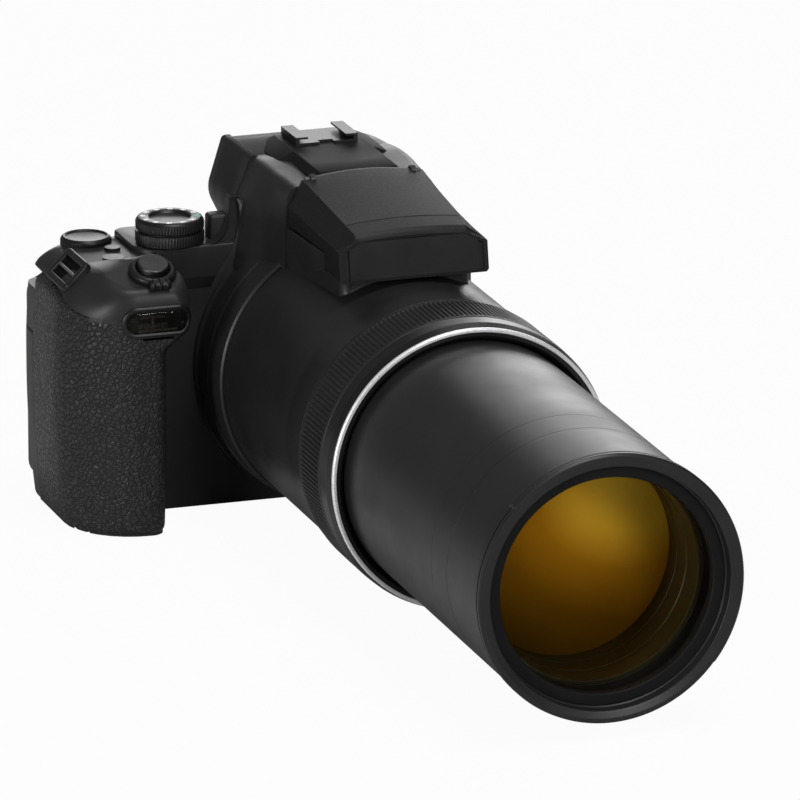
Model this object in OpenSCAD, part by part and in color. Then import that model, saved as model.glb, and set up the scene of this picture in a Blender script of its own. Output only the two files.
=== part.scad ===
// Bridge camera with a long zoom lens, drawn with the lens run out.
// X points right as seen from the front, Y runs from the lens to the back and Z is up.
// The origin is the mouth of the tripod socket.

/* [Body] */
// Room for the fingers between the grip and the fixed barrel
finger_room = 20.5; // [18:0.1:24]
// Width of the grip
grip_w = 32.4; // [30:0.1:36]
// Reach of the grip ahead of the tripod socket
grip_depth = 42; // [40:0.5:46]
// Reach of the body to the right of the fixed barrel
side_wall = 1.6; // [1.4:0.1:4]
// Front face ahead of the tripod socket
face_depth = 12.6; // [12:0.1:14]
// Back face behind the tripod socket
back_depth = 17; // [16.5:0.1:18]
// Thickness of the thumb pad on the back face
thumb_rise = 4; // [3.6:0.1:5]
// Rise from the lens axis to the joint under the top cover
seam_rise = 26.8; // [25:0.1:29]
// Rise from that joint to the flat part of the top
shoulder_rise = 12.5; // [12:0.1:14]
// Rise of the deck under the mode dial above the flat part of the top
deck_rise = 1.8; // [1.4:0.1:3]
// Thickness of the moulded covers
wall = 1.8; // [1.4:0.1:2]
// Thickness of the base plate
base_h = 2; // [1.6:0.1:2.2]
// Thickness of the grip's rubber skin
skin_t = 1; // [0.6:0.1:1.2]

/* [Lens] */
// Radius of the filter thread
filter_r = 38.5; // [36:0.5:41]
// Wall of the front rim outside the thread
rim_wall = 3.5; // [3.2:0.1:4]
// Step from the extension barrel to the fixed barrel
barrel_step = 4; // [3.8:0.1:5]
// Step from the fixed barrel to the control ring
ring_step = 1.4; // [1:0.1:1.5]
// Width of the retainer ring in front of the glass
retainer_w = 4.2; // [3.5:0.1:5]
// Gap between the fixed barrel and the surface the camera stands on
axis_lift = 1.5; // [1.4:0.1:3]
// Front rim ahead of the tripod socket with the lens run out
lens_reach = 280; // [270:1:290]
// Front of the fixed barrel ahead of the tripod socket
barrel_reach = 149; // [145:0.5:155]
// Travel of the extension barrel
zoom_travel = 125; // [100:1:125]
// Ribs round the control ring
ring_ribs = 120; // [60:4:160]
// Thread radius of the tripod socket
tripod_r = 3.175; // [3.175:0.001:4.8]

/* [Flash] */
// Half width of the flash head
flash_half = 25; // [24:0.1:26]
// Front of the flash head ahead of the tripod socket
flash_front = 92.6; // [90:0.1:95]
// Rear of the flash head ahead of the tripod socket
flash_rear = 37.4; // [37:0.1:38.5]
// Rise of the bed under the flash head above the fixed barrel
bed_rise = 5.5; // [5:0.1:8]
// Rise of the slab under the accessory shoe above that bed
slab_rise = 17.2; // [16.8:0.1:19]

/* [Controls] */
// Radius of the mode dial
mode_r = 11.9; // [10:0.1:12]
// Radius of the command dial
command_r = 8.5; // [7.5:0.1:8.8]
// Radius of the shutter button
shutter_r = 5.1; // [4.5:0.1:5.2]
// Forward tilt of the shutter button
shutter_tilt = 20; // [15:0.5:22]
// Radius of the selector ring
selector_r = 12; // [10:0.1:12.4]
// Radius of the small keys
key_r = 3.2; // [2.6:0.1:3.4]

/* [Fits] */
// Radial clearance of a turning or sliding fit
run_gap = 0.05; // [0.02:0.01:0.1]
// Gap between moving pieces that are not a fit
free_gap = 0.4; // [0.3:0.05:0.5]
// Gap between pieces that are seated together
seat_gap = 0.05; // [0.02:0.01:0.1]

/* [Hidden] */
$fn = 64;
// Shades that tell the pieces apart
coat = [0.13, 0.13, 0.135];
satin = [0.17, 0.17, 0.175];
rubber = [0.09, 0.09, 0.092];
steel = [0.72, 0.72, 0.74];
dark_steel = [0.3, 0.3, 0.31];
glass = [0.62, 0.45, 0.16];
clear = [0.35, 0.38, 0.4];
card = [0.1, 0.32, 0.2];

// Radii of the lens from the filter thread outwards
tube_r = filter_r + rim_wall;
barrel_r = tube_r + barrel_step;
ring_r = barrel_r + ring_step;
opening_r = filter_r - retainer_w;

// Heights, each from the one below it
axis_h = barrel_r + axis_lift;
seam_h = axis_h + seam_rise;
shoulder_h = seam_h + shoulder_rise;
deck_h = shoulder_h + deck_rise;
bed_h = axis_h + barrel_r + bed_rise;
slab_h = bed_h + slab_rise;
finder_z = slab_h - 17.2;

// Reaches of the body
side_reach = barrel_r + side_wall;
finger_x = -barrel_r - finger_room;
grip_reach = grip_w - finger_x;
thumb_depth = back_depth + thumb_rise;
finder_y = back_depth + 8;

// Stations along the lens, measured from the front rim or from the tripod socket
rim_y = -lens_reach;
sleeve_y = rim_y + 32;
thread_end = rim_y + 4.3;
bezel_front = -barrel_reach;
ring_front = bezel_front + 10;
ring_back = bezel_front + 30.7;
guide_front = bezel_front + 17.2;
collar_front = -35;
disc_y = 5.6;
disc_t = 2.4;
tube_end = disc_y - 0.6 - zoom_travel;
tube_in = tube_r - 1.8;
spigot_r = tube_r - 0.9;
land_r = barrel_r - 1.4;
barrel_in = tube_r + 1;
skirt_r = axis_h - base_h - 0.3;
seat_r = filter_r - 0.4;
cam_out = tube_in - 0.8;
cam_in = cam_out - 2.2;
guide_out = cam_in - 0.4;
guide_in = guide_out - 2;
cell_r = guide_in - free_gap;
group_r = cell_r - 0.1;
group_back = rim_y + 44.6;
motor_r = 4.6;
motor_x = sqrt(pow(skirt_r + motor_r + free_gap, 2) - pow(axis_h - base_h - motor_r - 0.05, 2));
zoom_glass_r = cell_r - 8.4;
zoom_glass_y = guide_front + 30.8;
focus_glass_r = cell_r - 18.4;
split_y = 4;
lip_y = -face_depth + wall + skin_t;
pad_left = -grip_reach + 3;
pad_right = finger_x + 28.5;

function clamp01(v) = min(1, max(0, v));
function ease(a, b, v) = let (s = clamp01((v - a) / (b - a))) s * s * (3 - 2 * s);
function unit(v) = v / norm(v);

// One corner of a rounded outline: an arc of radius r between the neighbours a and c
function corner(a, b, c, r, n) =
  let (
    u = unit(a - b),
    v = unit(c - b),
    half = acos(max(-1, min(1, u * v))) / 2,
    hub = b + unit(u + v) * r / sin(half),
    p = b + u * r / tan(half) - hub,
    q = b + v * r / tan(half) - hub,
    first = atan2(p[1], p[0]),
    turn = atan2(q[1], q[0]) - first,
    sweep = turn > 180 ? turn - 360 : (turn < -180 ? turn + 360 : turn)
  )
  r < 0.05 ? [b] : [for (i = [0 : n]) hub + r * [cos(first + sweep * i / n), sin(first + sweep * i / n)]];

// A closed outline from corners given as [x, y, radius]
function rounded(list, n = 6) =
  let (m = len(list))
  [for (i = [0 : m - 1]) each corner(
    [list[(i + m - 1) % m][0], list[(i + m - 1) % m][1]],
    [list[i][0], list[i][1]],
    [list[(i + 1) % m][0], list[(i + 1) % m][1]],
    list[i][2], n)];

function mirrored(half) = concat(half, [for (i = [len(half) - 1 : -1 : 0]) [-half[i][0], half[i][1]]]);
function lifted(outline, z) = [for (p = outline) [p[0], p[1], z]];

// A solid through a stack of outlines that all have as many points. A folded outline runs out along
// one side of a sheet and back along the other, so its ends are closed by a strip.
module skin(stack, folded = false) {
  m = len(stack[0]);
  k = len(stack);
  strip = [for (i = [0 : m / 2 - 2]) each [[i, i + 1, m - 2 - i], [i, m - 2 - i, m - 1 - i]]];
  sides = [for (j = [0 : k - 2], i = [0 : m - 1]) each [
    [j * m + i, (j + 1) * m + i, (j + 1) * m + (i + 1) % m],
    [j * m + i, (j + 1) * m + (i + 1) % m, j * m + (i + 1) % m]
  ]];
  cap = folded ? strip : [[for (i = [0 : m - 1]) i]];
  lid = [for (f = cap) [for (i = [len(f) - 1 : -1 : 0]) (k - 1) * m + f[i]]];
  polyhedron([for (s = stack) each s], concat(cap, sides, lid), 4);
}

module along_y(y0, y1) {
  translate([0, y1, 0])
    rotate([90, 0, 0])
      linear_extrude(y1 - y0)
        children();
}

module along_x(x0, x1) {
  translate([x0, 0, 0])
    rotate([90, 0, 90])
      linear_extrude(x1 - x0)
        children();
}

// A solid of revolution about the lens axis from points given as [radius, y]
module lens_turn(points) {
  translate([0, 0, axis_h])
    rotate([-90, 0, 0])
      rotate_extrude($fn = 128)
        polygon(points);
}

module lens_bore(r, y0, y1) {
  translate([0, y0, axis_h])
    rotate([-90, 0, 0])
      cylinder(r = r, h = y1 - y0, $fn = 128);
}

module box(x0, x1, y0, y1, z0, z1) {
  translate([x0, y0, z0])
    cube([x1 - x0, y1 - y0, z1 - z0]);
}

module block(x0, x1, y0, y1, z0, z1, r) {
  translate([0, 0, z0])
    linear_extrude(z1 - z0)
      polygon(rounded([[x0, y0, r], [x1, y0, r], [x1, y1, r], [x0, y1, r]]));
}

module panel(x0, x1, z0, z1, r, y0, y1) {
  along_y(y0, y1)
    polygon(rounded([[x0, z0, r], [x1, z0, r], [x1, z1, r], [x0, z1, r]]));
}

// Form of the body
function left_at(z) = -grip_reach + 4.6 * pow(max(0, (46 - z) / 46), 2) + 1.2 * pow(max(0, (z - 52) / 26), 2);
function nose_at(z) = -grip_depth + 3.6 * pow(max(0, (46 - z) / 46), 2);
function finger_at(z) = finger_x + 8.3 * ease(seam_h - 13.3, seam_h - 4.3, z);
function plan(z, t) = rounded([
  [left_at(z) + t, back_depth - t, 6 - t],
  [left_at(z) + t, split_y - 0.3, 0],
  [left_at(z) + t, nose_at(z) + t, 23 - t],
  [finger_at(z) - t, nose_at(z) + t, 5 - t],
  [finger_at(z) - t, -face_depth + t, 5 + t],
  [side_reach - t, -face_depth + t, 5 - t],
  [side_reach - t, back_depth - t, 5 - t]
], 8);
hollow_z = seam_h - 16.3;
levels = concat(
  [-2],
  [for (i = [0 : 8]) base_h + (hollow_z - base_h) * i / 8],
  [for (d = [13.3, 11.3, 9.3, 7.3, 5.3, 3.3, 0.3, -5.7]) seam_h - d]
);
body_stack = [for (z = levels) lifted(plan(z, 0), z)];
room_stack = [for (z = levels) lifted(plan(z, wall + skin_t), z)];

// The rubber sheet wraps the grip from the left side round to the finger hollow
sheet_first = 9;
sheet_last = 29;
sheet_levels = [for (z = levels) if (z > base_h + 4 && z < seam_h - 6.3) z];
module grip_sheet() {
  outer = [for (z = sheet_levels) [for (i = [sheet_first : sheet_last]) [each plan(z, 0)[i], z]]];
  inner = [for (z = sheet_levels) [for (i = [sheet_last : -1 : sheet_first]) [each plan(z, skin_t)[i], z]]];
  skin([for (j = [0 : len(sheet_levels) - 1]) concat(outer[j], inner[j])], true);
}

module gusset(x, y, z, dx, dy) {
  hull() {
    translate([min(x, x + dx), min(y, y + dy / 4), z])
      cube([abs(dx), abs(dy / 4), 1.2]);
    translate([min(x, x + dx / 4), min(y, y + dy), z])
      cube([abs(dx / 4), abs(dy), 1.2]);
  }
}

module front_cover() {
  inset = wall + skin_t;
  color(coat)
    difference() {
      union() {
        difference() {
          intersection() {
            skin(body_stack);
            union() {
              box(-150, 150, -80, split_y, base_h, seam_h);
              box(finger_x + 3.5, 150, -80, lip_y, 0.2, base_h + 1);
            }
          }
          skin(room_stack);
          grip_sheet();
        }
        for (z = [10 : 9 : seam_h - 10])
          gusset(finger_x - inset + 0.4, nose_at(z) + inset - 0.4, z, -5, 5);
        for (z = [10, 18])
          gusset(side_reach - inset + 0.5, -face_depth + inset - 0.5, z, -4, 4);
        for (i = [3, 4])
          screw_boss(screw_spots[i]);
      }
      lens_bore(barrel_r + seat_gap, -40, 20);
      connector_cut();
      lamp_room();
      for (i = [3, 4])
        screw_hole(screw_spots[i]);
    }
}

module grip_skin() {
  color(rubber)
    grip_sheet();
}

module base_plate() {
  color(satin)
    difference() {
      linear_extrude(base_h)
        polygon(plan(4, 0.4));
      box(finger_x + 3.3, 150, -80, lip_y + 0.1, -1, base_h + 1);
      translate([0, 0, -1])
        cylinder(r = 5.5 + seat_gap, h = base_h + 2);
      door_cut();
      for (p = screw_spots)
        translate([p[0], p[1], -1])
          cylinder(r = 1.1, h = base_h + 2);
      for (p = screw_spots)
        translate([p[0], p[1], -1])
          cylinder(r = 2.1, h = 2);
    }
}

screw_back = back_depth - 5;
screw_front = -face_depth + 6;
screw_spots = [
  [finger_x + 8.5, screw_back], [finger_x + 36.5, screw_back], [side_reach - 13.6, screw_back],
  [side_reach - 5.6, screw_front], [finger_x + 14.5, screw_front]
];
module screw_boss(p) {
  translate([p[0], p[1], base_h])
    cylinder(r = 3.4, h = 6, $fn = 24);
}

module screw_hole(p) {
  translate([p[0], p[1], base_h - 1])
    cylinder(r = 1 + seat_gap, h = 4, $fn = 24);
}

module case_screws() {
  color(dark_steel)
    for (p = screw_spots)
      translate([p[0], p[1], 0.2]) {
        difference() {
          cylinder(r = 1.9, h = 0.8);
          for (a = [0, 90])
            rotate([0, 0, a])
              translate([-1.2, -0.2, -0.1])
                cube([2.4, 0.4, 0.5]);
        }
        cylinder(r = 1, h = 3.6);
      }
}

module tripod_socket() {
  color(steel)
    difference() {
      union() {
        cylinder(r = 5.5, h = 4.9);
        translate([0, 0, base_h + 0.02])
          cylinder(r = 6.4, h = 0.9);
      }
      translate([0, 0, -1])
        cylinder(r = tripod_r, h = 8);
    }
}

module rear_cover() {
  color(coat)
    difference() {
      union() {
        difference() {
          intersection() {
            skin(body_stack);
            box(-150, 150, split_y, 60, base_h, seam_h);
          }
          skin(room_stack);
          lens_bore(skirt_r + free_gap, -20, disc_y + disc_t + 0.3);
        }
        panel(pad_left, pad_right, 5, seam_h - 0.3, 6, back_depth - 2, thumb_depth);
        for (z = [monitor_low - 1, monitor_high - 3])
          block(monitor_x - 2, monitor_x + 2.4, back_depth - 1, monitor_y + 2.4, z, z + 4, 1.7);
        for (z = [8 : 9 : seam_h - 2])
          gusset(side_reach - wall - skin_t + 0.5, back_depth - wall - skin_t + 0.5, z, -3, -3);
        for (i = [0, 1, 2])
          screw_boss(screw_spots[i]);
      }
      for (i = [0, 1, 2])
        screw_hole(screw_spots[i]);
      translate([monitor_x, monitor_y, monitor_low - 3])
        cylinder(r = 1.5 + seat_gap, h = monitor_high - monitor_low + 6, $fn = 32);
      key_pocket(selector_x, selector_z, selector_r + free_gap, 2.6);
      for (k = back_keys)
        key_pocket(k[0], k[1], k[2] + free_gap, 3.4);
      for (k = concat(back_keys, [[selector_x, selector_z, 1]]))
        key_pocket(k[0], k[1], 1 + free_gap, 12);
    }
}

// Keys on the thumb pad as [x, z, radius]
selector_x = finger_x + 0.5;
selector_z = seam_h - 38.3;
back_keys = [
  [finger_x + 16.5, seam_h - 10.3, key_r + 1],
  [finger_x - 7.5, seam_h - 10.3, key_r + 0.6],
  [finger_x + 20, seam_h - 24.3, key_r],
  [finger_x + 18.5, 20, key_r],
  [finger_x - 17.5, 18, key_r]
];
module key_pocket(x, z, r, depth) {
  translate([x, thumb_depth - depth, z])
    rotate([-90, 0, 0])
      cylinder(r = r, h = depth + 5, $fn = 40);
}

module back_key(k) {
  translate([k[0], thumb_depth - 2.5, k[1]])
    rotate([-90, 0, 0]) {
      cylinder(r = k[2], h = 3);
      translate([0, 0, 3])
        cylinder(r1 = k[2], r2 = k[2] - 0.5, h = 0.5);
      translate([0, 0, -4.4])
        cylinder(r = 1, h = 4.5);
    }
}

module movie_button() {
  color(satin)
    back_key(back_keys[0]);
}

module lock_button() {
  color(satin)
    back_key(back_keys[1]);
}

module play_button() {
  color(satin)
    back_key(back_keys[2]);
}

module menu_button() {
  color(satin)
    back_key(back_keys[3]);
}

module delete_button() {
  color(satin)
    back_key(back_keys[4]);
}

module selector_ring() {
  color(satin)
    translate([selector_x, thumb_depth - 2.2, selector_z])
      rotate([-90, 0, 0])
        difference() {
          union() {
            cylinder(r = selector_r, h = 3.2);
            translate([0, 0, 3.2])
              cylinder(r1 = selector_r, r2 = selector_r - 0.8, h = 0.8);
          }
          translate([0, 0, -1])
            cylinder(r = 5.6 + free_gap, h = 8);
        }
}

module ok_button() {
  color(satin)
    translate([selector_x, thumb_depth - 1.8, selector_z])
      rotate([-90, 0, 0]) {
        cylinder(r = 5.6, h = 3.6);
        translate([0, 0, 3.6])
          cylinder(r1 = 5.6, r2 = 5, h = 0.4);
        translate([0, 0, -4.4])
          cylinder(r = 1, h = 4.5);
      }
}

// Swing-out monitor
monitor_x = side_reach - 4;
monitor_y = back_depth + 3.6;
monitor_low = 9;
monitor_high = seam_h - 9.3;
monitor_left = pad_right + 4;
monitor_back = back_depth + 6.9;
module monitor_shell() {
  edge = monitor_x - 3;
  color(satin)
    difference() {
      union() {
        panel(monitor_left, edge, monitor_low, monitor_high, 3, back_depth + 0.3, monitor_back);
        translate([monitor_x, monitor_y, monitor_low + 3.6])
          cylinder(r = 2.4, h = monitor_high - monitor_low - 7.2);
        box(edge - 1, monitor_x, monitor_y - 1, monitor_y + 1, monitor_low + 3.6, monitor_high - 3.6);
      }
      translate([monitor_x, monitor_y, monitor_low])
        cylinder(r = 1.5 + run_gap, h = monitor_high - monitor_low);
      panel(monitor_left + 3, edge - 3, monitor_low + 4, monitor_high - 4, 1.5, back_depth, back_depth + 1.5);
    }
}

module monitor_screen() {
  edge = monitor_x - 3;
  color(clear)
    panel(monitor_left + 3 + seat_gap, edge - 3 - seat_gap, monitor_low + 4 + seat_gap,
      monitor_high - 4 - seat_gap, 1.4, back_depth + 0.4, back_depth + 1.5);
}

module monitor_pin() {
  color(steel)
    translate([monitor_x, monitor_y, monitor_low - 0.9])
      cylinder(r = 1.5, h = monitor_high - monitor_low + 1.8);
}

// Lens
module lens_collar() {
  color(coat)
    difference() {
      intersection() {
        lens_turn([
          [barrel_r + seat_gap, -face_depth - 0.02], [barrel_r + 3.5, -face_depth - 0.02],
          [barrel_r + 3.4, -face_depth - 1.6], [barrel_r + 2.6, -face_depth - 2.2],
          [barrel_r + 2.1, -23], [barrel_r + 1.8, -23.6], [barrel_r + 1.5, -24.2],
          [barrel_r + 1.3, -34.2], [barrel_r + 1, -34.8], [barrel_r + 0.6, collar_front],
          [barrel_r + seat_gap, collar_front]
        ]);
        box(-80, side_reach + 0.4, -60, 0, 0.3, 120);
      }
      saddle(0.1);
      hump(-0.1);
    }
}

module fixed_barrel() {
  color(coat)
    difference() {
      lens_turn([
        [barrel_in, disc_y - seat_gap], [skirt_r, disc_y - seat_gap], [skirt_r, lip_y - 0.1],
        [barrel_r, lip_y - 0.1], [barrel_r, -101],
        [ring_r - 0.2, ring_back + 1.2], [ring_r - 0.2, ring_back + 0.4],
        [land_r, ring_back + 0.4], [land_r, ring_front - 0.4], [land_r - 0.6, ring_front - 0.4],
        [land_r - 0.6, bezel_front + 4], [barrel_in, bezel_front + 4]
      ]);
      box(-8, 8, -8, 20, -5, 8);
      lever_segment(barrel_r - 1.7, barrel_r + 14, -76, -54, 15);
    }
}

module lever_segment(r0, r1, y0, y1, spread) {
  translate([0, 0, axis_h])
    rotate([-90, 0, 0])
      rotate([0, 0, -spread])
        rotate_extrude(angle = 2 * spread)
          polygon([[r0, y0], [r1, y0], [r1, y1], [r0, y1]]);
}

module side_zoom_lever() {
  color(satin) {
    lever_segment(barrel_r - 1.3, barrel_r + 1.1, -75.5, -54.5, 8);
    lever_segment(barrel_r + 1, barrel_r + 1.9, -73, -57, 2);
  }
}

module control_ring() {
  ribs = ring_ribs;
  outline = [for (i = [0 : ribs - 1], k = [[0, 0], [0.5, 0], [0.62, 0.45], [0.88, 0.45]])
    (ring_r - k[1]) * [cos((i + k[0]) * 360 / ribs), sin((i + k[0]) * 360 / ribs)]];
  color(rubber)
    translate([0, ring_back, axis_h])
      rotate([90, 0, 0])
        difference() {
          linear_extrude(ring_back - ring_front)
            polygon(outline);
          translate([0, 0, -1])
            cylinder(r = land_r + run_gap, h = ring_back - ring_front + 2, $fn = 128);
        }
}

module front_bezel() {
  color(satin)
    lens_turn([
      [land_r - 0.6 + seat_gap, ring_front - 0.4], [ring_r, ring_front - 0.4],
      [ring_r - 1, bezel_front + 0.8], [ring_r - 2.4, bezel_front + 0.8],
      [ring_r - 2.4, bezel_front], [tube_r + 0.6, bezel_front],
      [tube_r + 0.6, bezel_front + 3.9], [land_r - 0.6 + seat_gap, bezel_front + 3.9]
    ]);
}

module trim_ring() {
  color(steel)
    lens_turn([
      [ring_r - 2.35, bezel_front + 0.78], [ring_r - 1.02, bezel_front + 0.78],
      [ring_r - 1.05, bezel_front - 0.2], [ring_r - 1.3, bezel_front - 0.4],
      [ring_r - 2.35, bezel_front - 0.4]
    ]);
}

module extension_barrel() {
  color(coat)
    lens_turn([
      [tube_in, tube_end], [tube_r, tube_end], [tube_r, sleeve_y], [spigot_r, sleeve_y],
      [spigot_r, sleeve_y - 10], [tube_in, sleeve_y - 10]
    ]);
}

module front_rim() {
  color(coat)
    difference() {
      lens_turn([
        [spigot_r + seat_gap, sleeve_y - 0.2], [tube_r, sleeve_y - 0.2], [tube_r, rim_y + 5.4],
        [tube_r + 1, rim_y + 3.4], [tube_r + 1, rim_y + 0.8], [tube_r + 0.4, rim_y],
        [filter_r + 2.2, rim_y], [filter_r, rim_y + 0.8], [filter_r, thread_end], [seat_r, thread_end],
        [seat_r, rim_y + 16], [group_r - 0.6, rim_y + 16], [group_r - 0.6, rim_y + 26],
        [group_r - 1.1, rim_y + 26], [group_r - 1.1, group_back - 0.8], [group_r - 1.7, group_back - 0.8],
        [group_r - 1.7, group_back], [group_r, group_back], [group_r, rim_y + 18.4],
        [seat_r, rim_y + 18.4], [seat_r, sleeve_y - 10.2], [spigot_r + seat_gap, sleeve_y - 10.2]
      ]);
      for (a = [35, 155, 275])
        translate([0, 0, axis_h])
          rotate([-90, 0, 0])
            rotate([0, 0, a])
              rotate_extrude(angle = 50)
                polygon([[tube_r + 0.3, rim_y + 1.6], [tube_r + 3, rim_y + 1.6],
                  [tube_r + 3, rim_y + 3.2], [tube_r + 0.3, rim_y + 3.2]]);
    }
}

module retainer_ring() {
  color(satin)
    lens_turn([
      [opening_r, thread_end], [seat_r - seat_gap, thread_end],
      [seat_r - seat_gap, thread_end + 3.2], [opening_r, thread_end + 3.2]
    ]);
}

// A glass element between two spherical faces
module element(r, y_front, y_back, front_curve, back_curve) {
  translate([0, 0, axis_h])
    rotate([-90, 0, 0])
      intersection() {
        translate([0, 0, y_front])
          cylinder(r = r, h = y_back - y_front, $fn = 96);
        translate([0, 0, y_front + front_curve])
          sphere(r = front_curve, $fn = 320);
        translate([0, 0, y_back - back_curve])
          sphere(r = back_curve, $fn = 320);
      }
}

// The front glass, and the coated second glass at the back of the tube inside the rim
module front_element() {
  color(glass) {
    element(seat_r - 0.1, thread_end + 0.1, rim_y + 15.8, 160, 300);
    element(group_r - 1.15, group_back - 6.4, group_back - 0.85, 260, 900);
  }
}

module cam_tube() {
  color(dark_steel)
    difference() {
      lens_turn([
        [cam_in, guide_front], [cam_out, guide_front], [cam_out, disc_y - 2.5], [cam_in, disc_y - 2.5]
      ]);
      for (a = [15, 135, 255], s = [0 : 4])
        translate([0, guide_front + 20 + s * 22, axis_h])
          rotate([0, a + s * 14, 0])
            translate([0, 0, cam_in - 2])
              cylinder(r = 2, h = 8);
    }
}

module guide_tube() {
  color(dark_steel)
    difference() {
      lens_turn([
        [guide_in, guide_front], [guide_out, guide_front], [guide_out, disc_y], [skirt_r, disc_y],
        [skirt_r, disc_y + disc_t], [9, disc_y + disc_t], [9, disc_y], [guide_in, disc_y]
      ]);
      box(-8, 8, 0, 20, -5, 6);
      for (a = [90, 210, 330])
        translate([0, 0, axis_h])
          rotate([0, a, 0])
            box(-1.7, 1.7, guide_front + 14, -20, guide_in - 3, guide_out + 3);
    }
}

module zoom_cell() {
  color(satin) {
    lens_turn([
      [zoom_glass_r, zoom_glass_y], [cell_r, zoom_glass_y],
      [cell_r, zoom_glass_y + 13], [zoom_glass_r, zoom_glass_y + 13]
    ]);
    for (a = [90, 210, 330])
      translate([0, zoom_glass_y + 6.5, axis_h])
        rotate([0, a, 0])
          translate([0, 0, cell_r - 2])
            cylinder(r = 1.3, h = guide_out - cell_r + 1.8);
  }
}

module zoom_lens() {
  color(clear)
    element(zoom_glass_r - seat_gap, zoom_glass_y + 0.5, zoom_glass_y + 12.5, 120, 160);
}

module focus_cell() {
  color(satin)
    lens_turn([[focus_glass_r, -14], [cell_r, -14], [cell_r, -5], [focus_glass_r, -5]]);
}

module focus_lens() {
  color(clear)
    element(focus_glass_r - seat_gap, -13.5, -5.5, 60, 90);
}

module image_sensor() {
  color(dark_steel)
    box(-8, 8, disc_y + disc_t + 0.02, disc_y + disc_t + 1.6, axis_h - 7, axis_h + 7);
}

module main_board() {
  color(card)
    difference() {
      panel(pad_right, 30, 12, seam_h - 2.3, 2, disc_y + disc_t + 1.65, disc_y + disc_t + 3.1);
      panel(-30, -24, 20, 26, 1, 0, 20);
    }
}

module zoom_motor() {
  color(dark_steel)
    translate([motor_x, -7.5, base_h + motor_r + 0.05])
      rotate([-90, 0, 0]) {
        cylinder(r = motor_r, h = 15.4);
        translate([0, 0, -2])
          cylinder(r = 1, h = 2.5);
      }
}

module battery() {
  color(satin)
    block(finger_x - 24.3, finger_x - 11.5, -24, 6, base_h + 0.3, seam_h - 21.3, 2);
}

// Hump of the finder: a section across the camera with its left side, top and right side,
// each corner given as [x, z, radius]
function hump_outline(y, t, low, left, right, crown) =
  [for (p = rounded([
    [-left[0] + t, low, 0],
    [-left[1] + t, 1.4, 7],
    [-left[2] + t, left[3] - t, 4],
    [12, crown - t, 4],
    [right[2] - t, right[3] - t, 4],
    [right[1] - t, 1.4, 7],
    [right[0] - t, low, 0]
  ], 4)) [p[0], y, bed_h + p[1]]];
// Sides are given as [foot x, waist x, edge x, edge rise], with rises above the bed under the flash head
function hump_stack(t) = [
  hump_outline(-flash_rear + 0.4 + t, t, -23, neck(26, 25.6), neck(26, 25.6), 14),
  hump_outline(-31, t, -22, neck(27.6, 26.8), neck(27.6, 26.8), 14.2),
  hump_outline(-25, t, -21, neck(30, 28.4), neck(30, 28.4), 14.4),
  hump_outline(-18, t, -20, neck(34, 31), neck(34, 31), 14.7),
  hump_outline(-face_depth - 1, t, -19, neck(37, 32.8), neck(36, 32.4), 15),
  hump_outline(-5, t, -19, [35, 33.4, 24.6, 14.4], [34.6, 32.8, 24.6, 14], 15.2),
  hump_outline(4, t, -19, [33.4, 34.2, 26.4, 14.6], [33.4, 32.8, 24.4, 13.2], 15.8),
  hump_outline(12, t, -17, [32.4, 34.7, 28.6, 15.8], [32.6, 32.4, 23.4, 12.4], 16.8),
  hump_outline(back_depth + 1 - t, t, -15, [31.6, 34.9, 29.4, 16.9], [31.4, 31.6, 22.4, 11.8], 17.1),
  hump_outline(back_depth + 4 - t, t, -11, [30.8, 33.6, 28.4, 16.2], [30, 30.2, 21.6, 10.8], 16.4)
];
function neck(foot, waist) = [foot, waist, 24.6, 13.6];
module hump(t) {
  skin(hump_stack(t));
}

// Bed under the flash head, standing on the fixed barrel, with a saddle that flares out behind it
bed_half = flash_half - 0.1;
function saddle_outline(y, grow, foot, waist) =
  [for (p = mirrored([
    [-foot - grow, axis_h + 26.5], [-waist - grow, bed_h - 7],
    [-bed_half - grow, bed_h - 0.6], [-bed_half + 1 - grow, bed_h]
  ])) [p[0], y, p[1]]];
module saddle(grow) {
  skin([
    saddle_outline(-flash_front + 17.6, grow, bed_half, bed_half),
    saddle_outline(-flash_rear, grow, bed_half, bed_half),
    saddle_outline(-30, grow, bed_half + 2.6, bed_half + 1),
    saddle_outline(-22, grow, bed_half + 7.6, bed_half + 4),
    saddle_outline(-face_depth, grow, bed_half + 13.4, bed_half + 7.6)
  ]);
}

// Short pier under the front of the flash head
module pier() {
  along_y(-flash_front + 8.6, -flash_front + 17.7)
    polygon(mirrored([
      [-flash_half + 2.6, axis_h + 26.5], [-flash_half + 3, bed_h - 9], [-flash_half + 4, bed_h - 4.6]
    ]));
}

// Wing of the top cover over the grip and the right shoulder
nose_y = -grip_depth + 20;
nose_h = shoulder_h + 2.8;
module wing(t) {
  intersection() {
    translate([0, 0, seam_h - (t > 0 ? 5 : 0)])
      linear_extrude(30)
        polygon(plan(seam_h + 5.7, t));
    along_y(-80, 60)
      polygon([[-grip_reach - 3, seam_h - 14], [-grip_reach + t, seam_h],
        [-grip_reach + 0.8 + t, seam_h + 3.2 - t],
        [-grip_reach + 3.9 + t, seam_h + 7.3 - t], [-grip_reach + 9.4 + t, shoulder_h - 1.2 - t],
        [-grip_reach + 16.9, nose_h - t], [side_reach - 13.6, nose_h - t],
        [side_reach - 5.6 - t, shoulder_h - 1.8 - t], [side_reach - t, seam_h + 3.7 - t],
        [side_reach + 3, seam_h - 14]]);
    along_x(-150, 150)
      polygon([[back_depth + 2, seam_h - 14], [back_depth + 2, seam_h + 7.7 - t],
        [back_depth - 4, shoulder_h - t], [-14, shoulder_h - t], [nose_y, nose_h - t],
        [-grip_depth + 2, nose_h - (nose_y + grip_depth - 2) * tan(shutter_tilt) - t],
        [-grip_depth + t, seam_h + 5.7 - t], [-grip_depth - 1, seam_h - 14]]);
  }
}

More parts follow.
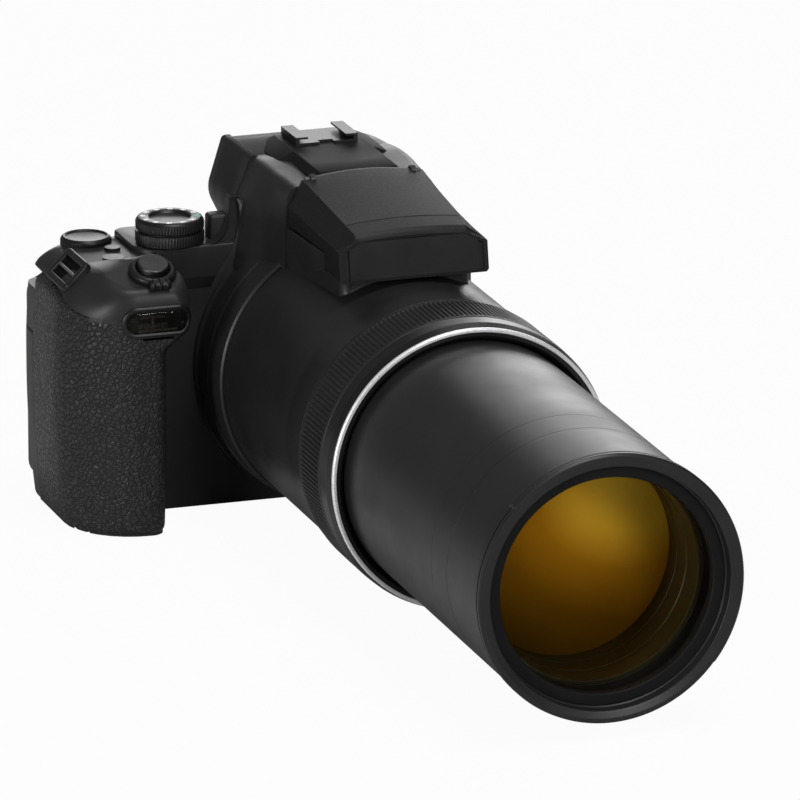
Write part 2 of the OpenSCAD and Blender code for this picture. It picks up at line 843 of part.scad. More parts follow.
deck_left = finger_x - 1.5;
deck_right = finger_x + 36.5;
deck_corners = [
  [deck_left, -9, 9], [deck_left + 6, -face_depth, 4], [deck_right, -face_depth, 1],
  [deck_right, back_depth, 1], [deck_left, back_depth, 4]
];
module deck(t) {
  translate([0, 0, seam_h])
    linear_extrude(deck_h - t - seam_h)
      polygon([for (p = rounded(deck_corners))
        [p[0] + (p[0] < deck_right - 10 ? t : 0), p[1] + (p[1] < 0 ? t : -t)]]);
}

// Frame that stands on the slope of the shutter nose
shutter_x = finger_x - 2.5;
shutter_y = -grip_depth + 10.5;
module on_nose() {
  translate([shutter_x, shutter_y, nose_h + (shutter_y - nose_y) * tan(shutter_tilt)])
    rotate([shutter_tilt, 0, 0])
      children();
}

mode_at = [finger_x + 11.7, -5];
command_at = [finger_x - 12.3, back_depth - 7];
power_at = [finger_x - 10, -13.5];
function_at = [finger_x - 6.9, -2];
wheel_at = [25.4, finder_z - 1];
wheel_y = back_depth + 4.4;
release_at = [-24, bed_h - 2.4];
release_x = 31.4;
command_z = shoulder_h - 3.2;
lamp_z = seam_h - 1.2;

// Fin that rises from the deck to the hump beside the mode dial
module fin() {
  foot = deck_h - 0.6;
  tip = finder_z + 3.7;
  root = mode_at[0] + mode_r + 4.4;
  along_y(-face_depth + seat_gap, -4.3)
    polygon(rounded([
      [root - 14, foot - 1, 0], [root - 14, foot, 0], [root, foot, 9],
      [root + 3.1, tip, 0], [root + 6.3, tip, 0], [root + 6.3, foot - 1, 0]
    ], 4));
}

module slab() {
  along_y(-flash_rear + 1.8, 14)
    polygon(mirrored([[-16, slab_h - 5.2], [-12.5, slab_h]]));
}

module top_cover() {
  color(coat)
    difference() {
      union() {
        difference() {
          union() {
            wing(0);
            deck(0);
            hump(0);
            fin();
            slab();
            panel(-19, 19, finder_z - 11.4, finder_z + 11.4, 5, back_depth - 2, finder_y);
          }
          wing(wall);
          deck(wall);
          hump(wall);
        }
        saddle(0);
        pier();
        intersection() {
          wing(0);
          eyelet_block();
        }
        for (y = [-4, 2, 8])
          gusset(side_reach - 1, y, seam_h + 1.7, -4, 1.2);
        for (i = [0 : 5])
          gusset(finger_x + 0.5 + 6 * i, back_depth - 1, seam_h + 3.7, 1.2, -4);
        for (p = [command_at, mode_at])
          translate([p[0], p[1], shoulder_h - 5.8])
            cylinder(r = 6, h = 4.6);
        translate([command_at[0], command_at[1], command_z - 4])
          cylinder(r = command_r + 1.8, h = 3);
        translate([wheel_at[0], wheel_y - 9, wheel_at[1]])
          rotate([-90, 0, 0])
            cylinder(r = 3.8, h = 8.6);
        translate([release_x - 9, release_at[0], release_at[1]])
          rotate([0, 90, 0])
            cylinder(r = 4.4, h = 8.4);
      }
      lens_bore(barrel_r + seat_gap, -200, -face_depth + wall + 0.6);
      lens_bore(skirt_r + free_gap, -20, 10);
      box(-200, 200, -11, 60, 0, seam_h);
      box(-200, 200, -60, -10, 0, seam_h);
      shoe_holes();
      finder_room();
      bracket_room();
      eyelet_room();
      lamp_room();
      on_nose()
        translate([0, 0, -8])
          cylinder(r = shutter_r + free_gap, h = 20);
      translate([mode_at[0], mode_at[1], seam_h - 4.3])
        cylinder(r = 3 + run_gap, h = 30);
      translate([command_at[0], command_at[1], command_z - 0.3])
        cylinder(r = command_r + free_gap, h = 20);
      translate([command_at[0], command_at[1], seam_h - 4.3])
        cylinder(r = 2 + run_gap, h = 30);
      translate([power_at[0], power_at[1], seam_h - 4.3])
        cylinder(r = 3.6 + free_gap, h = 30);
      translate([function_at[0], function_at[1], seam_h - 4.3])
        cylinder(r = 2.6 + free_gap, h = 30);
      translate([wheel_at[0], wheel_y - 12, wheel_at[1]])
        rotate([-90, 0, 0])
          cylinder(r = 2 + run_gap, h = 30);
      translate([release_x - 5.2, release_at[0], release_at[1]])
        rotate([0, 90, 0])
          cylinder(r = 3 + free_gap, h = 30);
    }
}

module finder_room() {
  panel(-12.2, 12.2, finder_z - 7, finder_z + 7, 4, back_depth - 4, finder_y + 15);
}

module shoe_holes() {
  for (x = [-6, 6], y = [2, 12])
    translate([x, y, slab_h - 2.2])
      cylinder(r = 0.8, h = 6, $fn = 24);
}

module accessory_shoe() {
  color(steel)
    difference() {
      union() {
        box(-10.6, 10.6, -2, 14, slab_h + 0.02, slab_h + 0.7);
        for (s = [-1, 1]) {
          box(s * 9.95 - 0.65, s * 9.95 + 0.65, -2, 14, slab_h + 0.1, slab_h + 2.7);
          box(s * 8.55 - 2.05, s * 8.55 + 2.05, -2, 14, slab_h + 2, slab_h + 2.7);
        }
        for (x = [-6, 6], y = [2, 12])
          translate([x, y, slab_h - 1.6])
            cylinder(r = 0.75, h = 2);
      }
      box(-2.5, 2.5, -3, 0.5, slab_h, slab_h + 1);
    }
}

module eyecup() {
  color(rubber)
    difference() {
      union() {
        panel(-20.5, 20.5, finder_z - 12.2, finder_z + 12.4, 6, finder_y + 0.05, finder_y + 3);
        panel(-19.4, 19.4, finder_z - 11.1, finder_z + 11.3, 6, finder_y + 2.9, finder_y + 6.4);
      }
      panel(-13.5, 13.5, finder_z - 8, finder_z + 8, 5, finder_y - 5, finder_y + 15);
    }
}

module eyepiece_lens() {
  color(clear)
    panel(-12.1, 12.1, finder_z - 6.9, finder_z + 6.9, 3.9, finder_y - 4, finder_y - 2);
}

module finder_display() {
  finder_front = disc_y + disc_t + 0.5;
  color(dark_steel)
    difference() {
      panel(-11.8, 11.8, finder_z - 6.6, finder_z + 6.6, 3, finder_front, finder_y - 4.1);
      panel(-10, 10, finder_z - 5, finder_z + 5, 2, finder_front + 2, finder_y - 3);
    }
}

// Strap eyelets: one at each end of the top cover
module eyelet_room() {
  box(-grip_reach - 12, -grip_reach + 8.5, -24, -3, seam_h + 5.9, seam_h + 26);
  box(side_reach - 6, side_reach + 30, -6, 10, seam_h + 4.7, seam_h + 26);
}

module eyelet_block() {
  box(-grip_reach - 12, -grip_reach + 10.3, -26, -1, seam_h - 4.3, seam_h + 26);
  box(side_reach - 8, side_reach + 30, -8, 12, seam_h - 4.3, seam_h + 26);
}

module eyelet(length, height) {
  difference() {
    along_x(0, 2)
      polygon(rounded([[-length / 2, -4, 0.5], [length / 2, -4, 0.5], [length / 2 - 4, height, 2.5],
        [-length / 2 + 4, height, 2.5]]));
    along_x(-1, 3)
      polygon(rounded([[-length / 2 + 2.6, 1.4, 0.8], [length / 2 - 2.6, 1.4, 0.8],
        [length / 2 - 5.4, height - 1.8, 1.2], [-length / 2 + 5.4, height - 1.8, 1.2]]));
  }
}

module strap_eyelets() {
  color(dark_steel) {
    translate([-grip_reach + 3.9, -13.5, seam_h + 6])
      intersection() {
        eyelet(18, 6);
        box(-10, 10, -20, 20, 0, 20);
      }
    translate([side_reach - 4.4, 2, seam_h + 4.8])
      intersection() {
        eyelet(14, 6);
        box(-10, 10, -20, 20, 0, 20);
      }
  }
}

// Assist lamp in the front of the nose
module lamp_oval(grow, y0, y1) {
  panel(finger_x - 15.1 - grow, finger_x + 7.3 + grow,
    lamp_z - 4.9 - grow, lamp_z + 4.9 + grow, 4.8 + grow, y0, y1);
}

module nose_form(t) {
  translate([0, 0, lamp_z - 12])
    linear_extrude(24)
      polygon(plan(seam_h - 2.3, t));
}

module lamp_room() {
  difference() {
    lamp_oval(seat_gap, -grip_depth - 8, -grip_depth + 8);
    nose_form(1.75);
  }
}

module lamp_bezel() {
  color(satin)
    difference() {
      intersection() {
        lamp_oval(0, -grip_depth - 8, -grip_depth + 8);
        nose_form(-0.5);
      }
      nose_form(1.7);
      lamp_oval(-2, -grip_depth - 8, -grip_depth + 12);
    }
}

module lamp_window() {
  color(clear)
    difference() {
      intersection() {
        lamp_oval(-2 - seat_gap, -grip_depth - 8, -grip_depth + 8);
        nose_form(0.3);
      }
      nose_form(1.6);
    }
}

// Flash
hinge_y = -flash_rear - 1.6;
hinge_z = bed_h + 15.8;
lug_x = flash_half - 8;
face_tilt = 10.2;
module flash_points(list) {
  hull()
    for (p = list)
      for (s = [-1, 1])
        translate([s * p[0] - 0.01, p[1] - 0.01, p[2] - 0.01])
          cube(0.02);
}

module flash_face(t, z0, z1) {
  translate([0, -flash_front, bed_h - 4])
    rotate([90 - face_tilt, 0, 0])
      translate([0, 0, z0])
        linear_extrude(z1 - z0)
          polygon(mirrored([[-flash_half + 3.4 + t, 0.9 + t], [-flash_half + 3.4 + t, 10.6 - t / 2],
            [-flash_half + 7.6 + t / 2, 12.9 - t]]));
}

module flash_head() {
  color(coat)
    difference() {
      union() {
        flash_points([
          [flash_half, -flash_rear, bed_h + 0.5], [flash_half, -flash_rear, bed_h + 7.5],
          [flash_half - 4.5, -flash_rear, bed_h + 16.5], [flash_half - 13.5, -flash_rear, bed_h + 18.2],
          [flash_half, -flash_front + 20.6, bed_h + 2.2], [flash_half, -flash_front + 1, bed_h + 2.2],
          [flash_half, -flash_front + 1, bed_h + 6], [flash_half - 6.4, -flash_front + 2.6, bed_h + 10.4],
          [flash_half - 16, -flash_front + 2.6, bed_h + 10.8]
        ]);
        flash_points([
          [flash_half, -flash_front + 17.2, bed_h + 2.6],
          [flash_half - 0.6, -flash_front + 15.6, bed_h - 3.6],
          [flash_half - 2.6, -flash_front, bed_h - 4], [flash_half - 0.6, -flash_front + 1, bed_h - 3],
          [flash_half, -flash_front + 1, bed_h + 5.6]
        ]);
      }
      flash_face(-seat_gap, -1.1, 5);
      for (s = [-1, 1])
        box(s * lug_x - 1.4, s * lug_x + 1.4, hinge_y - 3, -flash_rear + 7.4, bed_h - 2, bed_h + 26);
      translate([-lug_x - 2.9, hinge_y, hinge_z])
        rotate([0, 90, 0])
          cylinder(r = 1.2 + run_gap, h = 2 * lug_x + 5.8);
      tube_room(seat_gap, bed_h - 9, bed_h + 5);
    }
}

module tube_room(grow, z0, z1) {
  box(-lug_x - grow, lug_x + grow, -flash_front + 3.25 - grow, -flash_front + 13.95 + grow, z0, z1);
}

module flash_panel() {
  color(satin)
    flash_face(0, -1.05, 0.2);
}

module flash_window() {
  color(clear)
    tube_room(0, bed_h - 3.4, bed_h - 2);
}

module flash_reflector() {
  color(steel)
    difference() {
      tube_room(0, bed_h - 1.95, bed_h + 4.9);
      translate([-lug_x + 1, -flash_front + 8.6, bed_h - 1])
        rotate([0, 90, 0])
          cylinder(r = 4.6, h = 2 * lug_x - 2);
      box(-lug_x + 1, lug_x - 1, -flash_front + 4, -flash_front + 13.2, bed_h - 3, bed_h - 0.99);
    }
}

module bracket_room() {
  half = lug_x + 1.9 + seat_gap;
  box(-half, half, -flash_rear - 1, -flash_rear + 2.2, bed_h + 4, bed_h + 13);
}

module flash_bracket() {
  color(dark_steel)
    difference() {
      union() {
        box(-lug_x - 1.9, lug_x + 1.9, -flash_rear + 0.6, -flash_rear + 2.1, bed_h + 4.1, bed_h + 12.2);
        for (s = [-1, 1])
          along_x(s * lug_x - 0.9, s * lug_x + 0.9)
            polygon([[-flash_rear + 0.7, bed_h + 5], [-flash_rear + 0.7, bed_h + 11],
              [hinge_y + 1.8, bed_h + 13], [hinge_y + 1.8, hinge_z + 1.2],
              [hinge_y, hinge_z + 2.2], [hinge_y - 1.8, hinge_z + 1.4],
              [hinge_y - 2.3, hinge_z - 0.6], [hinge_y - 1.2, hinge_z - 2.4]]);
      }
      translate([-30, hinge_y, hinge_z])
        rotate([0, 90, 0])
          cylinder(r = 1.2 + seat_gap, h = 60);
    }
}

module flash_pin() {
  color(steel)
    translate([-lug_x - 2.6, hinge_y, hinge_z])
      rotate([0, 90, 0])
        cylinder(r = 1.2, h = 2 * lug_x + 5.2);
}

// Dials, buttons and levers on the top
module knurled(r, h, ribs, cut) {
  linear_extrude(h)
    polygon([for (i = [0 : ribs - 1], k = [[0, 0], [0.5, 0], [0.65, 1], [0.85, 1]])
      (r - k[1] * cut) * [cos((i + k[0]) * 360 / ribs), sin((i + k[0]) * 360 / ribs)]]);
}

module mode_dial() {
  color(satin)
    translate([mode_at[0], mode_at[1], deck_h + 0.3]) {
      knurled(mode_r - 0.7, 3, 60, 0.35);
      translate([0, 0, 2.9])
        cylinder(r = mode_r - 1, h = 0.5);
      translate([0, 0, 3.3])
        knurled(mode_r, 4.3, 60, 0.35);
      translate([0, 0, 7.5])
        cylinder(r1 = mode_r - 0.6, r2 = mode_r - 1.4, h = 0.9);
      translate([0, 0, -6])
        cylinder(r = 3, h = 7);
    }
}

module command_dial() {
  color(satin)
    translate([command_at[0], command_at[1], command_z]) {
      knurled(command_r, 4.6, 44, 0.4);
      translate([0, 0, 4.5])
        cylinder(r1 = command_r - 0.6, r2 = command_r - 1.5, h = 0.9);
      translate([0, 0, -5])
        cylinder(r = 2, h = 6);
    }
}

module shutter_button() {
  color(satin)
    on_nose() {
      translate([0, 0, -2.4])
        cylinder(r = shutter_r, h = 6.4);
      translate([0, 0, 4])
        cylinder(r1 = shutter_r, r2 = shutter_r - 0.9, h = 0.5);
      translate([0, 0, -3.4])
        cylinder(r = shutter_r + 1.2, h = 1.1);
    }
}

module zoom_lever() {
  color(satin)
    on_nose()
      difference() {
        union() {
          translate([0, 0, 0.3])
            cylinder(r = 8.3, h = 2.9);
          box(-3.6, 3.6, -10.6, -6, 0.4, 3.9);
        }
        translate([0, 0, -1])
          cylinder(r = shutter_r + free_gap, h = 8);
      }
}

module top_button(p, r) {
  translate([p[0], p[1], shoulder_h - wall - 1.3]) {
    cylinder(r = r + 0.9, h = 0.9);
    cylinder(r = r, h = wall + 2.2);
  }
}

module power_button() {
  color(satin)
    top_button(power_at, 3.6);
}

module function_button() {
  color(satin)
    top_button(function_at, 2.6);
}

module sight_wheel() {
  color(satin)
    translate([wheel_at[0], wheel_y, wheel_at[1]])
      rotate([-90, 0, 0]) {
        knurled(4.4, 2.4, 30, 0.3);
        translate([0, 0, -8])
          cylinder(r = 2, h = 8.5);
      }
}

module flash_button() {
  color(satin)
    translate([release_x - 4.2, release_at[0], release_at[1]])
      rotate([0, 90, 0])
        cylinder(r = 3, h = 4.6);
}

// Doors
door_x = finger_x - 3.7;
door_left = finger_x - 26.5;
door_z = 1.1;
module door_cut() {
  box(door_left - 0.4, door_x + 1.3, -29.4, 8.4, -1, base_h + 1);
  translate([door_x, -31.5, door_z])
    rotate([-90, 0, 0])
      cylinder(r = 0.5 + run_gap, h = 42);
}

module battery_door() {
  color(satin) {
    difference() {
      box(door_left, door_x, -29, 8, 0.3, base_h - 0.1);
      box(door_left + 2, door_left + 7, -14, -8, 0, 0.8);
    }
    translate([door_x, -29, door_z])
      rotate([-90, 0, 0])
        cylinder(r = 0.79, h = 37);
    translate([door_x, -31, door_z])
      rotate([-90, 0, 0])
        cylinder(r = 0.5, h = 41);
  }
}

cover_y = 1.9;
cover_x = side_reach - 0.6;
module connector_cut() {
  box(side_reach - 1.2, side_reach + 5, -6.8, cover_y + 1, 24.6, 60.4);
  translate([cover_x, cover_y, 22.6])
    cylinder(r = 0.3 + run_gap, h = 40, $fn = 32);
}

module connector_cover() {
  color(rubber) {
    box(side_reach - 1, side_reach - 0.1, -6.4, cover_y, 25, 60);
    translate([cover_x, cover_y, 25])
      cylinder(r = 0.48, h = 35);
    translate([cover_x, cover_y, 23])
      cylinder(r = 0.3, h = 39);
  }
}

front_cover();
grip_skin();
rear_cover();
top_cover();
base_plate();
tripod_socket();
case_screws();
lens_collar();
fixed_barrel();
front_bezel();
trim_ring();
control_ring();
extension_barrel();
front_rim();
retainer_ring();
front_element();
cam_tube();
guide_tube();
zoom_cell();
zoom_lens();
focus_cell();
focus_lens();
image_sensor();
main_board();
zoom_motor();
battery();
flash_bracket();
flash_pin();
flash_head();
flash_panel();
flash_window();
flash_reflector();
accessory_shoe();
eyecup();
eyepiece_lens();
finder_display();
strap_eyelets();
lamp_bezel();
lamp_window();
mode_dial();
command_dial();
shutter_button();
zoom_lever();
power_button();
function_button();
sight_wheel();
flash_button();
monitor_shell();
monitor_screen();
monitor_pin();
selector_ring();
ok_button();
movie_button();
lock_button();
play_button();
menu_button();
delete_button();
side_zoom_lever();
battery_door();
connector_cover();
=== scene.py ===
"""Looks of a bridge camera with its zoom lens run out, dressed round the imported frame."""
import math

import bmesh
import bpy
import numpy as np
from mathutils import Matrix, Vector


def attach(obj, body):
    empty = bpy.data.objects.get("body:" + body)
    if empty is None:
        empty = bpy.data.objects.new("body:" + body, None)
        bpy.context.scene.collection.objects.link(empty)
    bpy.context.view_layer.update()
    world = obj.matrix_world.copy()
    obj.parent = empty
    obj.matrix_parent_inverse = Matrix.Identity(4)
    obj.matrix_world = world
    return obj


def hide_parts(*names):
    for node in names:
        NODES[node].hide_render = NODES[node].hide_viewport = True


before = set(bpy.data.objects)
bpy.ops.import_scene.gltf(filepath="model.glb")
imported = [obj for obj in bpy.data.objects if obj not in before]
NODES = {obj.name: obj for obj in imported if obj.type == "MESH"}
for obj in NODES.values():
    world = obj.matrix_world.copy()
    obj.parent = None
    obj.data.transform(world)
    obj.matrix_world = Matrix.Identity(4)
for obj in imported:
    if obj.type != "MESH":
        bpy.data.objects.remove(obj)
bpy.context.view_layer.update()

# Metres in a millimetre, and how close points and edges are merged, in metres
MM = 0.001
MERGE, SLIVER = 2e-6, 1e-6

# Height of the lens axis and wall of a moulded skin, in millimetres
AXIS = 47.5
SKIN_WALL = 0.9


# Outlines and grids

def rounded(corners, steps=8):
    """Outline through corners given as (u, v, radius): each corner becomes an arc that touches its two
    sides, drawn by turning the hub-to-touch vector through the corner's sweep in equal steps."""
    at = np.array([c[:2] for c in corners], float)
    to_last = np.roll(at, 1, 0) - at
    to_next = np.roll(at, -1, 0) - at
    to_last /= np.linalg.norm(to_last, axis=1)[:, None]
    to_next /= np.linalg.norm(to_next, axis=1)[:, None]
    radius = np.maximum([c[2] for c in corners], 0.02)
    half = np.arccos(np.clip((to_last * to_next).sum(1), -1, 1)) / 2
    middle = to_last + to_next
    middle /= np.maximum(np.linalg.norm(middle, axis=1), 1e-9)[:, None]
    hub = at + middle * (radius / np.sin(half))[:, None]
    first = at + to_last * (radius / np.tan(half))[:, None] - hub
    last = at + to_next * (radius / np.tan(half))[:, None] - hub
    turn = np.arctan2(first[:, 0] * last[:, 1] - first[:, 1] * last[:, 0], (first * last).sum(1))
    angle = turn[:, None] * np.linspace(0, 1, steps + 1)
    cos, sin = np.cos(angle), np.sin(angle)
    x = first[:, :1] * cos - first[:, 1:] * sin + hub[:, :1]
    y = first[:, :1] * sin + first[:, 1:] * cos + hub[:, 1:]
    return np.stack([x, y], -1).reshape(-1, 2)


def split(outline, longest):
    """Closed outline with extra points so that no side is longer than the given length."""
    ends = np.roll(outline, -1, 0)
    counts = np.maximum(1, np.ceil(np.linalg.norm(ends - outline, axis=1) / longest)).astype(int)
    which = np.repeat(np.arange(len(outline)), counts)
    step = np.arange(counts.sum()) - np.repeat(np.cumsum(counts) - counts, counts)
    share = (step / counts[which])[:, None]
    return outline[which] * (1 - share) + ends[which] * share


def ease(a, b, v):
    """Smooth step from 0 at a to 1 at b."""
    s = np.clip((np.asarray(v, float) - a) / (b - a), 0, 1)
    return s * s * (3 - 2 * s)


def quads(rows, cols, wrap_rows=False, wrap_cols=True):
    """Corner numbers of the cells of a grid of rows by cols points, closed round where asked."""
    i, j = np.meshgrid(
        np.arange(rows if wrap_rows else rows - 1), np.arange(cols if wrap_cols else cols - 1), indexing="ij"
    )
    below, beside = (i + 1) % rows, (j + 1) % cols
    corners = [i * cols + j, i * cols + beside, below * cols + beside, below * cols + j]
    return np.stack(corners, -1).reshape(-1, 4)


def piece(name, points, faces, body, sharp=32, closed=True):
    """Mesh object from points in millimetres and faces, normals outwards, riding on a body. An open sheet
    keeps the side on which its faces were drawn."""
    mesh = bpy.data.meshes.new(name)
    places = (np.asarray(points) * MM).reshape(-1, 3).tolist()
    mesh.from_pydata(places, [], [list(map(int, f)) for f in faces])
    tidy = bmesh.new()
    tidy.from_mesh(mesh)
    bmesh.ops.remove_doubles(tidy, verts=tidy.verts, dist=MERGE)
    bmesh.ops.dissolve_degenerate(tidy, dist=SLIVER, edges=tidy.edges)
    if closed:
        bmesh.ops.recalc_face_normals(tidy, faces=tidy.faces)
    tidy.to_mesh(mesh)
    tidy.free()
    mesh.shade_smooth()
    mesh.set_sharp_from_angle(angle=math.radians(sharp))
    made = bpy.data.objects.new(name, mesh)
    bpy.context.scene.collection.objects.link(made)
    if body:
        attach(made, body)
    return made


def loft(name, sections, body, sharp=32):
    """Closed skin through sections (rows of points with equal counts), its ends closed by flat faces."""
    sections = np.asarray(sections, float)
    rows, cols = sections.shape[:2]
    ends = [list(range(cols)), list(range((rows - 1) * cols, rows * cols))]
    return piece(name, sections, quads(rows, cols).tolist() + ends, body, sharp)


def upright(flat, y):
    """Outline of (x, z) points stood up across the camera at a depth y."""
    return np.column_stack([flat[:, 0], np.full(len(flat), y), flat[:, 1]])


def level(flat, z):
    """Outline of (x, y) points laid level at a height z."""
    return np.column_stack([flat, np.full(len(flat), z)])


def full_turn(count):
    """Equal angles round one full turn."""
    return np.linspace(0, 2 * np.pi, count, endpoint=False)


def round_axis(r, y, angle):
    """Points at a radius from the lens axis and at a depth y, carried round it by an angle."""
    return np.stack([r * np.sin(angle), y + 0 * angle, AXIS + r * np.cos(angle)], -1)


def lathe(name, profile, body, turns=256, shape=None):
    """Closed profile of (radius, y) points carried round the lens axis, the radius changed by a shape of
    (radius, y, angle) where one is given."""
    profile = np.asarray(profile, float)
    angle = full_turn(turns)
    r, y = profile[:, :1], profile[:, 1:]
    if shape:
        r = shape(r, y, angle)
    return piece(name, round_axis(r, y, angle), quads(len(profile), turns, True, True), body)


def thicken(made, side):
    """Gives an open sheet the wall of a moulded skin, below its faces for -1 and above them for 1."""
    thick = made.modifiers.new("thickness", "SOLIDIFY")
    thick.thickness = SKIN_WALL * MM
    thick.offset = side


# Camera at the photograph's angle

RIM_CENTRE = Vector((0, -280, AXIS)) * MM
VIEW_BACK = Vector((-0.3034, -0.9087, 0.2865))
VIEW_RIGHT = Vector((0.9485, -0.3167, 0))
VIEW_UP = VIEW_BACK.cross(VIEW_RIGHT)
DISTANCE, SHIFT_RIGHT, SHIFT_UP = 3.0, -0.0642, 0.0576
SENSOR, FOCAL = 36, 445.7
camera = bpy.data.objects.new("camera", bpy.data.cameras.new("camera"))
bpy.context.scene.collection.objects.link(camera)
camera.data.sensor_width = SENSOR
camera.data.lens = FOCAL
camera.data.clip_end = 20
camera.location = RIM_CENTRE + DISTANCE * VIEW_BACK + SHIFT_RIGHT * VIEW_RIGHT + SHIFT_UP * VIEW_UP
camera.rotation_mode = "QUATERNION"
camera.rotation_quaternion = Matrix((VIEW_RIGHT, VIEW_UP, VIEW_BACK)).transposed().to_quaternion()
bpy.context.scene.camera = camera
bpy.context.scene.view_settings.view_transform = "Standard"


# Materials

class Finish:
    """Node tree of one material, with short ways to add and join nodes."""

    def __init__(self, name):
        """Starts the tree with its shader and the place on the piece."""
        self.material = bpy.data.materials.new(name)
        self.material.use_nodes = True
        self.tree = self.material.node_tree
        self.shader = self.tree.nodes["Principled BSDF"]
        self.place = self.add("ShaderNodeTexCoord").outputs["Object"]

    def add(self, kind, **settings):
        """New node of a kind, with its settings."""
        node = self.tree.nodes.new(kind)
        for key, value in settings.items():
            setattr(node, key, value)
        return node

    def join(self, output, target):
        """Link from an output to a socket."""
        self.tree.links.new(output, target)

    def noise(self, per_mm, detail=2, rough=0.5):
        """Cloudy value, with a number of lumps to the millimetre."""
        node = self.add("ShaderNodeTexNoise")
        node.inputs["Scale"].default_value = per_mm / MM
        node.inputs["Detail"].default_value = detail
        node.inputs["Roughness"].default_value = rough
        self.join(self.place, node.inputs["Vector"])
        return node.outputs["Fac"]

    def cells(self, per_mm, feature="F1", place=None):
        """Distance within cells or to their edges, with a number of cells to the millimetre."""
        node = self.add("ShaderNodeTexVoronoi", feature=feature)
        node.inputs["Scale"].default_value = per_mm / MM
        self.join(place or self.place, node.inputs["Vector"])
        return node.outputs["Distance"]

    def math(self, how, a, b):
        """Result of one operation on two values, each an output or a number."""
        node = self.add("ShaderNodeMath", operation=how)
        for value, target in ((a, node.inputs[0]), (b, node.inputs[1])):
            if isinstance(value, (int, float)):
                target.default_value = value
            else:
                self.join(value, target)
        return node.outputs[0]

    def spread(self, fac, low, high, bottom=0.0, top=1.0):
        """Value stretched in a straight line: bottom at low and top at high."""
        node = self.add("ShaderNodeMapRange")
        self.join(fac, node.inputs["Value"])
        for key, value in (("From Min", low), ("From Max", high), ("To Min", bottom), ("To Max", top)):
            node.inputs[key].default_value = value
        return node.outputs["Result"]

    def ramp(self, fac, stops):
        """Colour by value, through stops of (place, colour)."""
        node = self.add("ShaderNodeValToRGB")
        node.color_ramp.elements.remove(node.color_ramp.elements[1])
        node.color_ramp.elements[0].position = stops[0][0]
        node.color_ramp.elements[0].color = (*stops[0][1], 1)
        for at, colour in stops[1:]:
            node.color_ramp.elements.new(at).color = (*colour, 1)
        self.join(fac, node.inputs["Fac"])
        return node.outputs["Color"]

    def bump(self, height, depth_mm):
        """Relief of a depth in millimetres on the shader's normal."""
        node = self.add("ShaderNodeBump")
        node.inputs["Strength"].default_value = 1
        node.inputs["Distance"].default_value = depth_mm * MM
        self.join(height, node.inputs["Height"])
        self.join(node.outputs["Normal"], self.shader.inputs["Normal"])

    def set(self, **sockets):
        """Numbers on the shader's own sockets, with a low line for each blank in a socket's name."""
        for key, value in sockets.items():
            self.shader.inputs[key.replace("_", " ")].default_value = value

    def colour(self, fac, stops):
        """Base colour by value, through stops of (place, colour)."""
        self.join(self.ramp(fac, stops), self.shader.inputs["Base Color"])

    def roughness(self, fac, low, high, bottom, top):
        """Roughness by value: bottom at low and top at high."""
        self.join(self.spread(fac, low, high, bottom, top), self.shader.inputs["Roughness"])

    def surface(self, share, under, over):
        """Shows one shader over another by a share."""
        mixed = self.add("ShaderNodeMixShader")
        for output, target in zip((share, under, over), mixed.inputs):
            self.join(output, target)
        self.join(mixed.outputs[0], self.tree.nodes["Material Output"].inputs["Surface"])


# How far the roughness of mouldings and of metal drifts to either side
MOULDED_DRIFT, METAL_DRIFT = 0.04, 0.06


def grained_plastic(name, dark, light, gloss, grain, depth, shine=0.25):
    """Moulded plastic: fine spark-erosion grain in the bump, a faint drift in colour and in gloss."""
    f = Finish(name)
    fine = f.noise(grain, 3, 0.6)
    drift = f.noise(0.05, 3, 0.6)
    tone = f.math("ADD", f.math("MULTIPLY", fine, 0.35), f.math("MULTIPLY", drift, 0.65))
    f.colour(tone, [(0.3, (dark,) * 3), (0.7, (light,) * 3)])
    f.roughness(drift, 0.3, 0.7, gloss - MOULDED_DRIFT, gloss + MOULDED_DRIFT)
    f.bump(fine, depth)
    f.set(Specular_IOR_Level=shine)
    return f.material


def speckled_plastic(name, dark, light, fleck):
    """Coarse matt moulding with a shallow grain and scattered light flecks."""
    f = Finish(name)
    fine = f.noise(1.6, 3, 0.6)
    spot = f.cells(0.5)
    tone = f.math("ADD", f.math("MULTIPLY", fine, 0.8), f.spread(spot, 0.05, 0.12, 1.0, 0.0))
    f.colour(tone, [(0.2, (dark,) * 3), (0.7, (light,) * 3), (1.0, (fleck,) * 3)])
    f.roughness(fine, 0.3, 0.7, 0.42, 0.54)
    f.bump(fine, 0.06)
    f.set(Specular_IOR_Level=0.2)
    return f.material


def tinted_plastic(name, dark, light, gloss, grain, depth):
    """Coloured moulding: fine grain in colour and bump."""
    f = Finish(name)
    fine = f.noise(grain, 3, 0.6)
    f.colour(fine, [(0.3, dark), (0.7, light)])
    f.roughness(fine, 0.3, 0.7, gloss - MOULDED_DRIFT, gloss + MOULDED_DRIFT)
    f.bump(fine, depth)
    return f.material


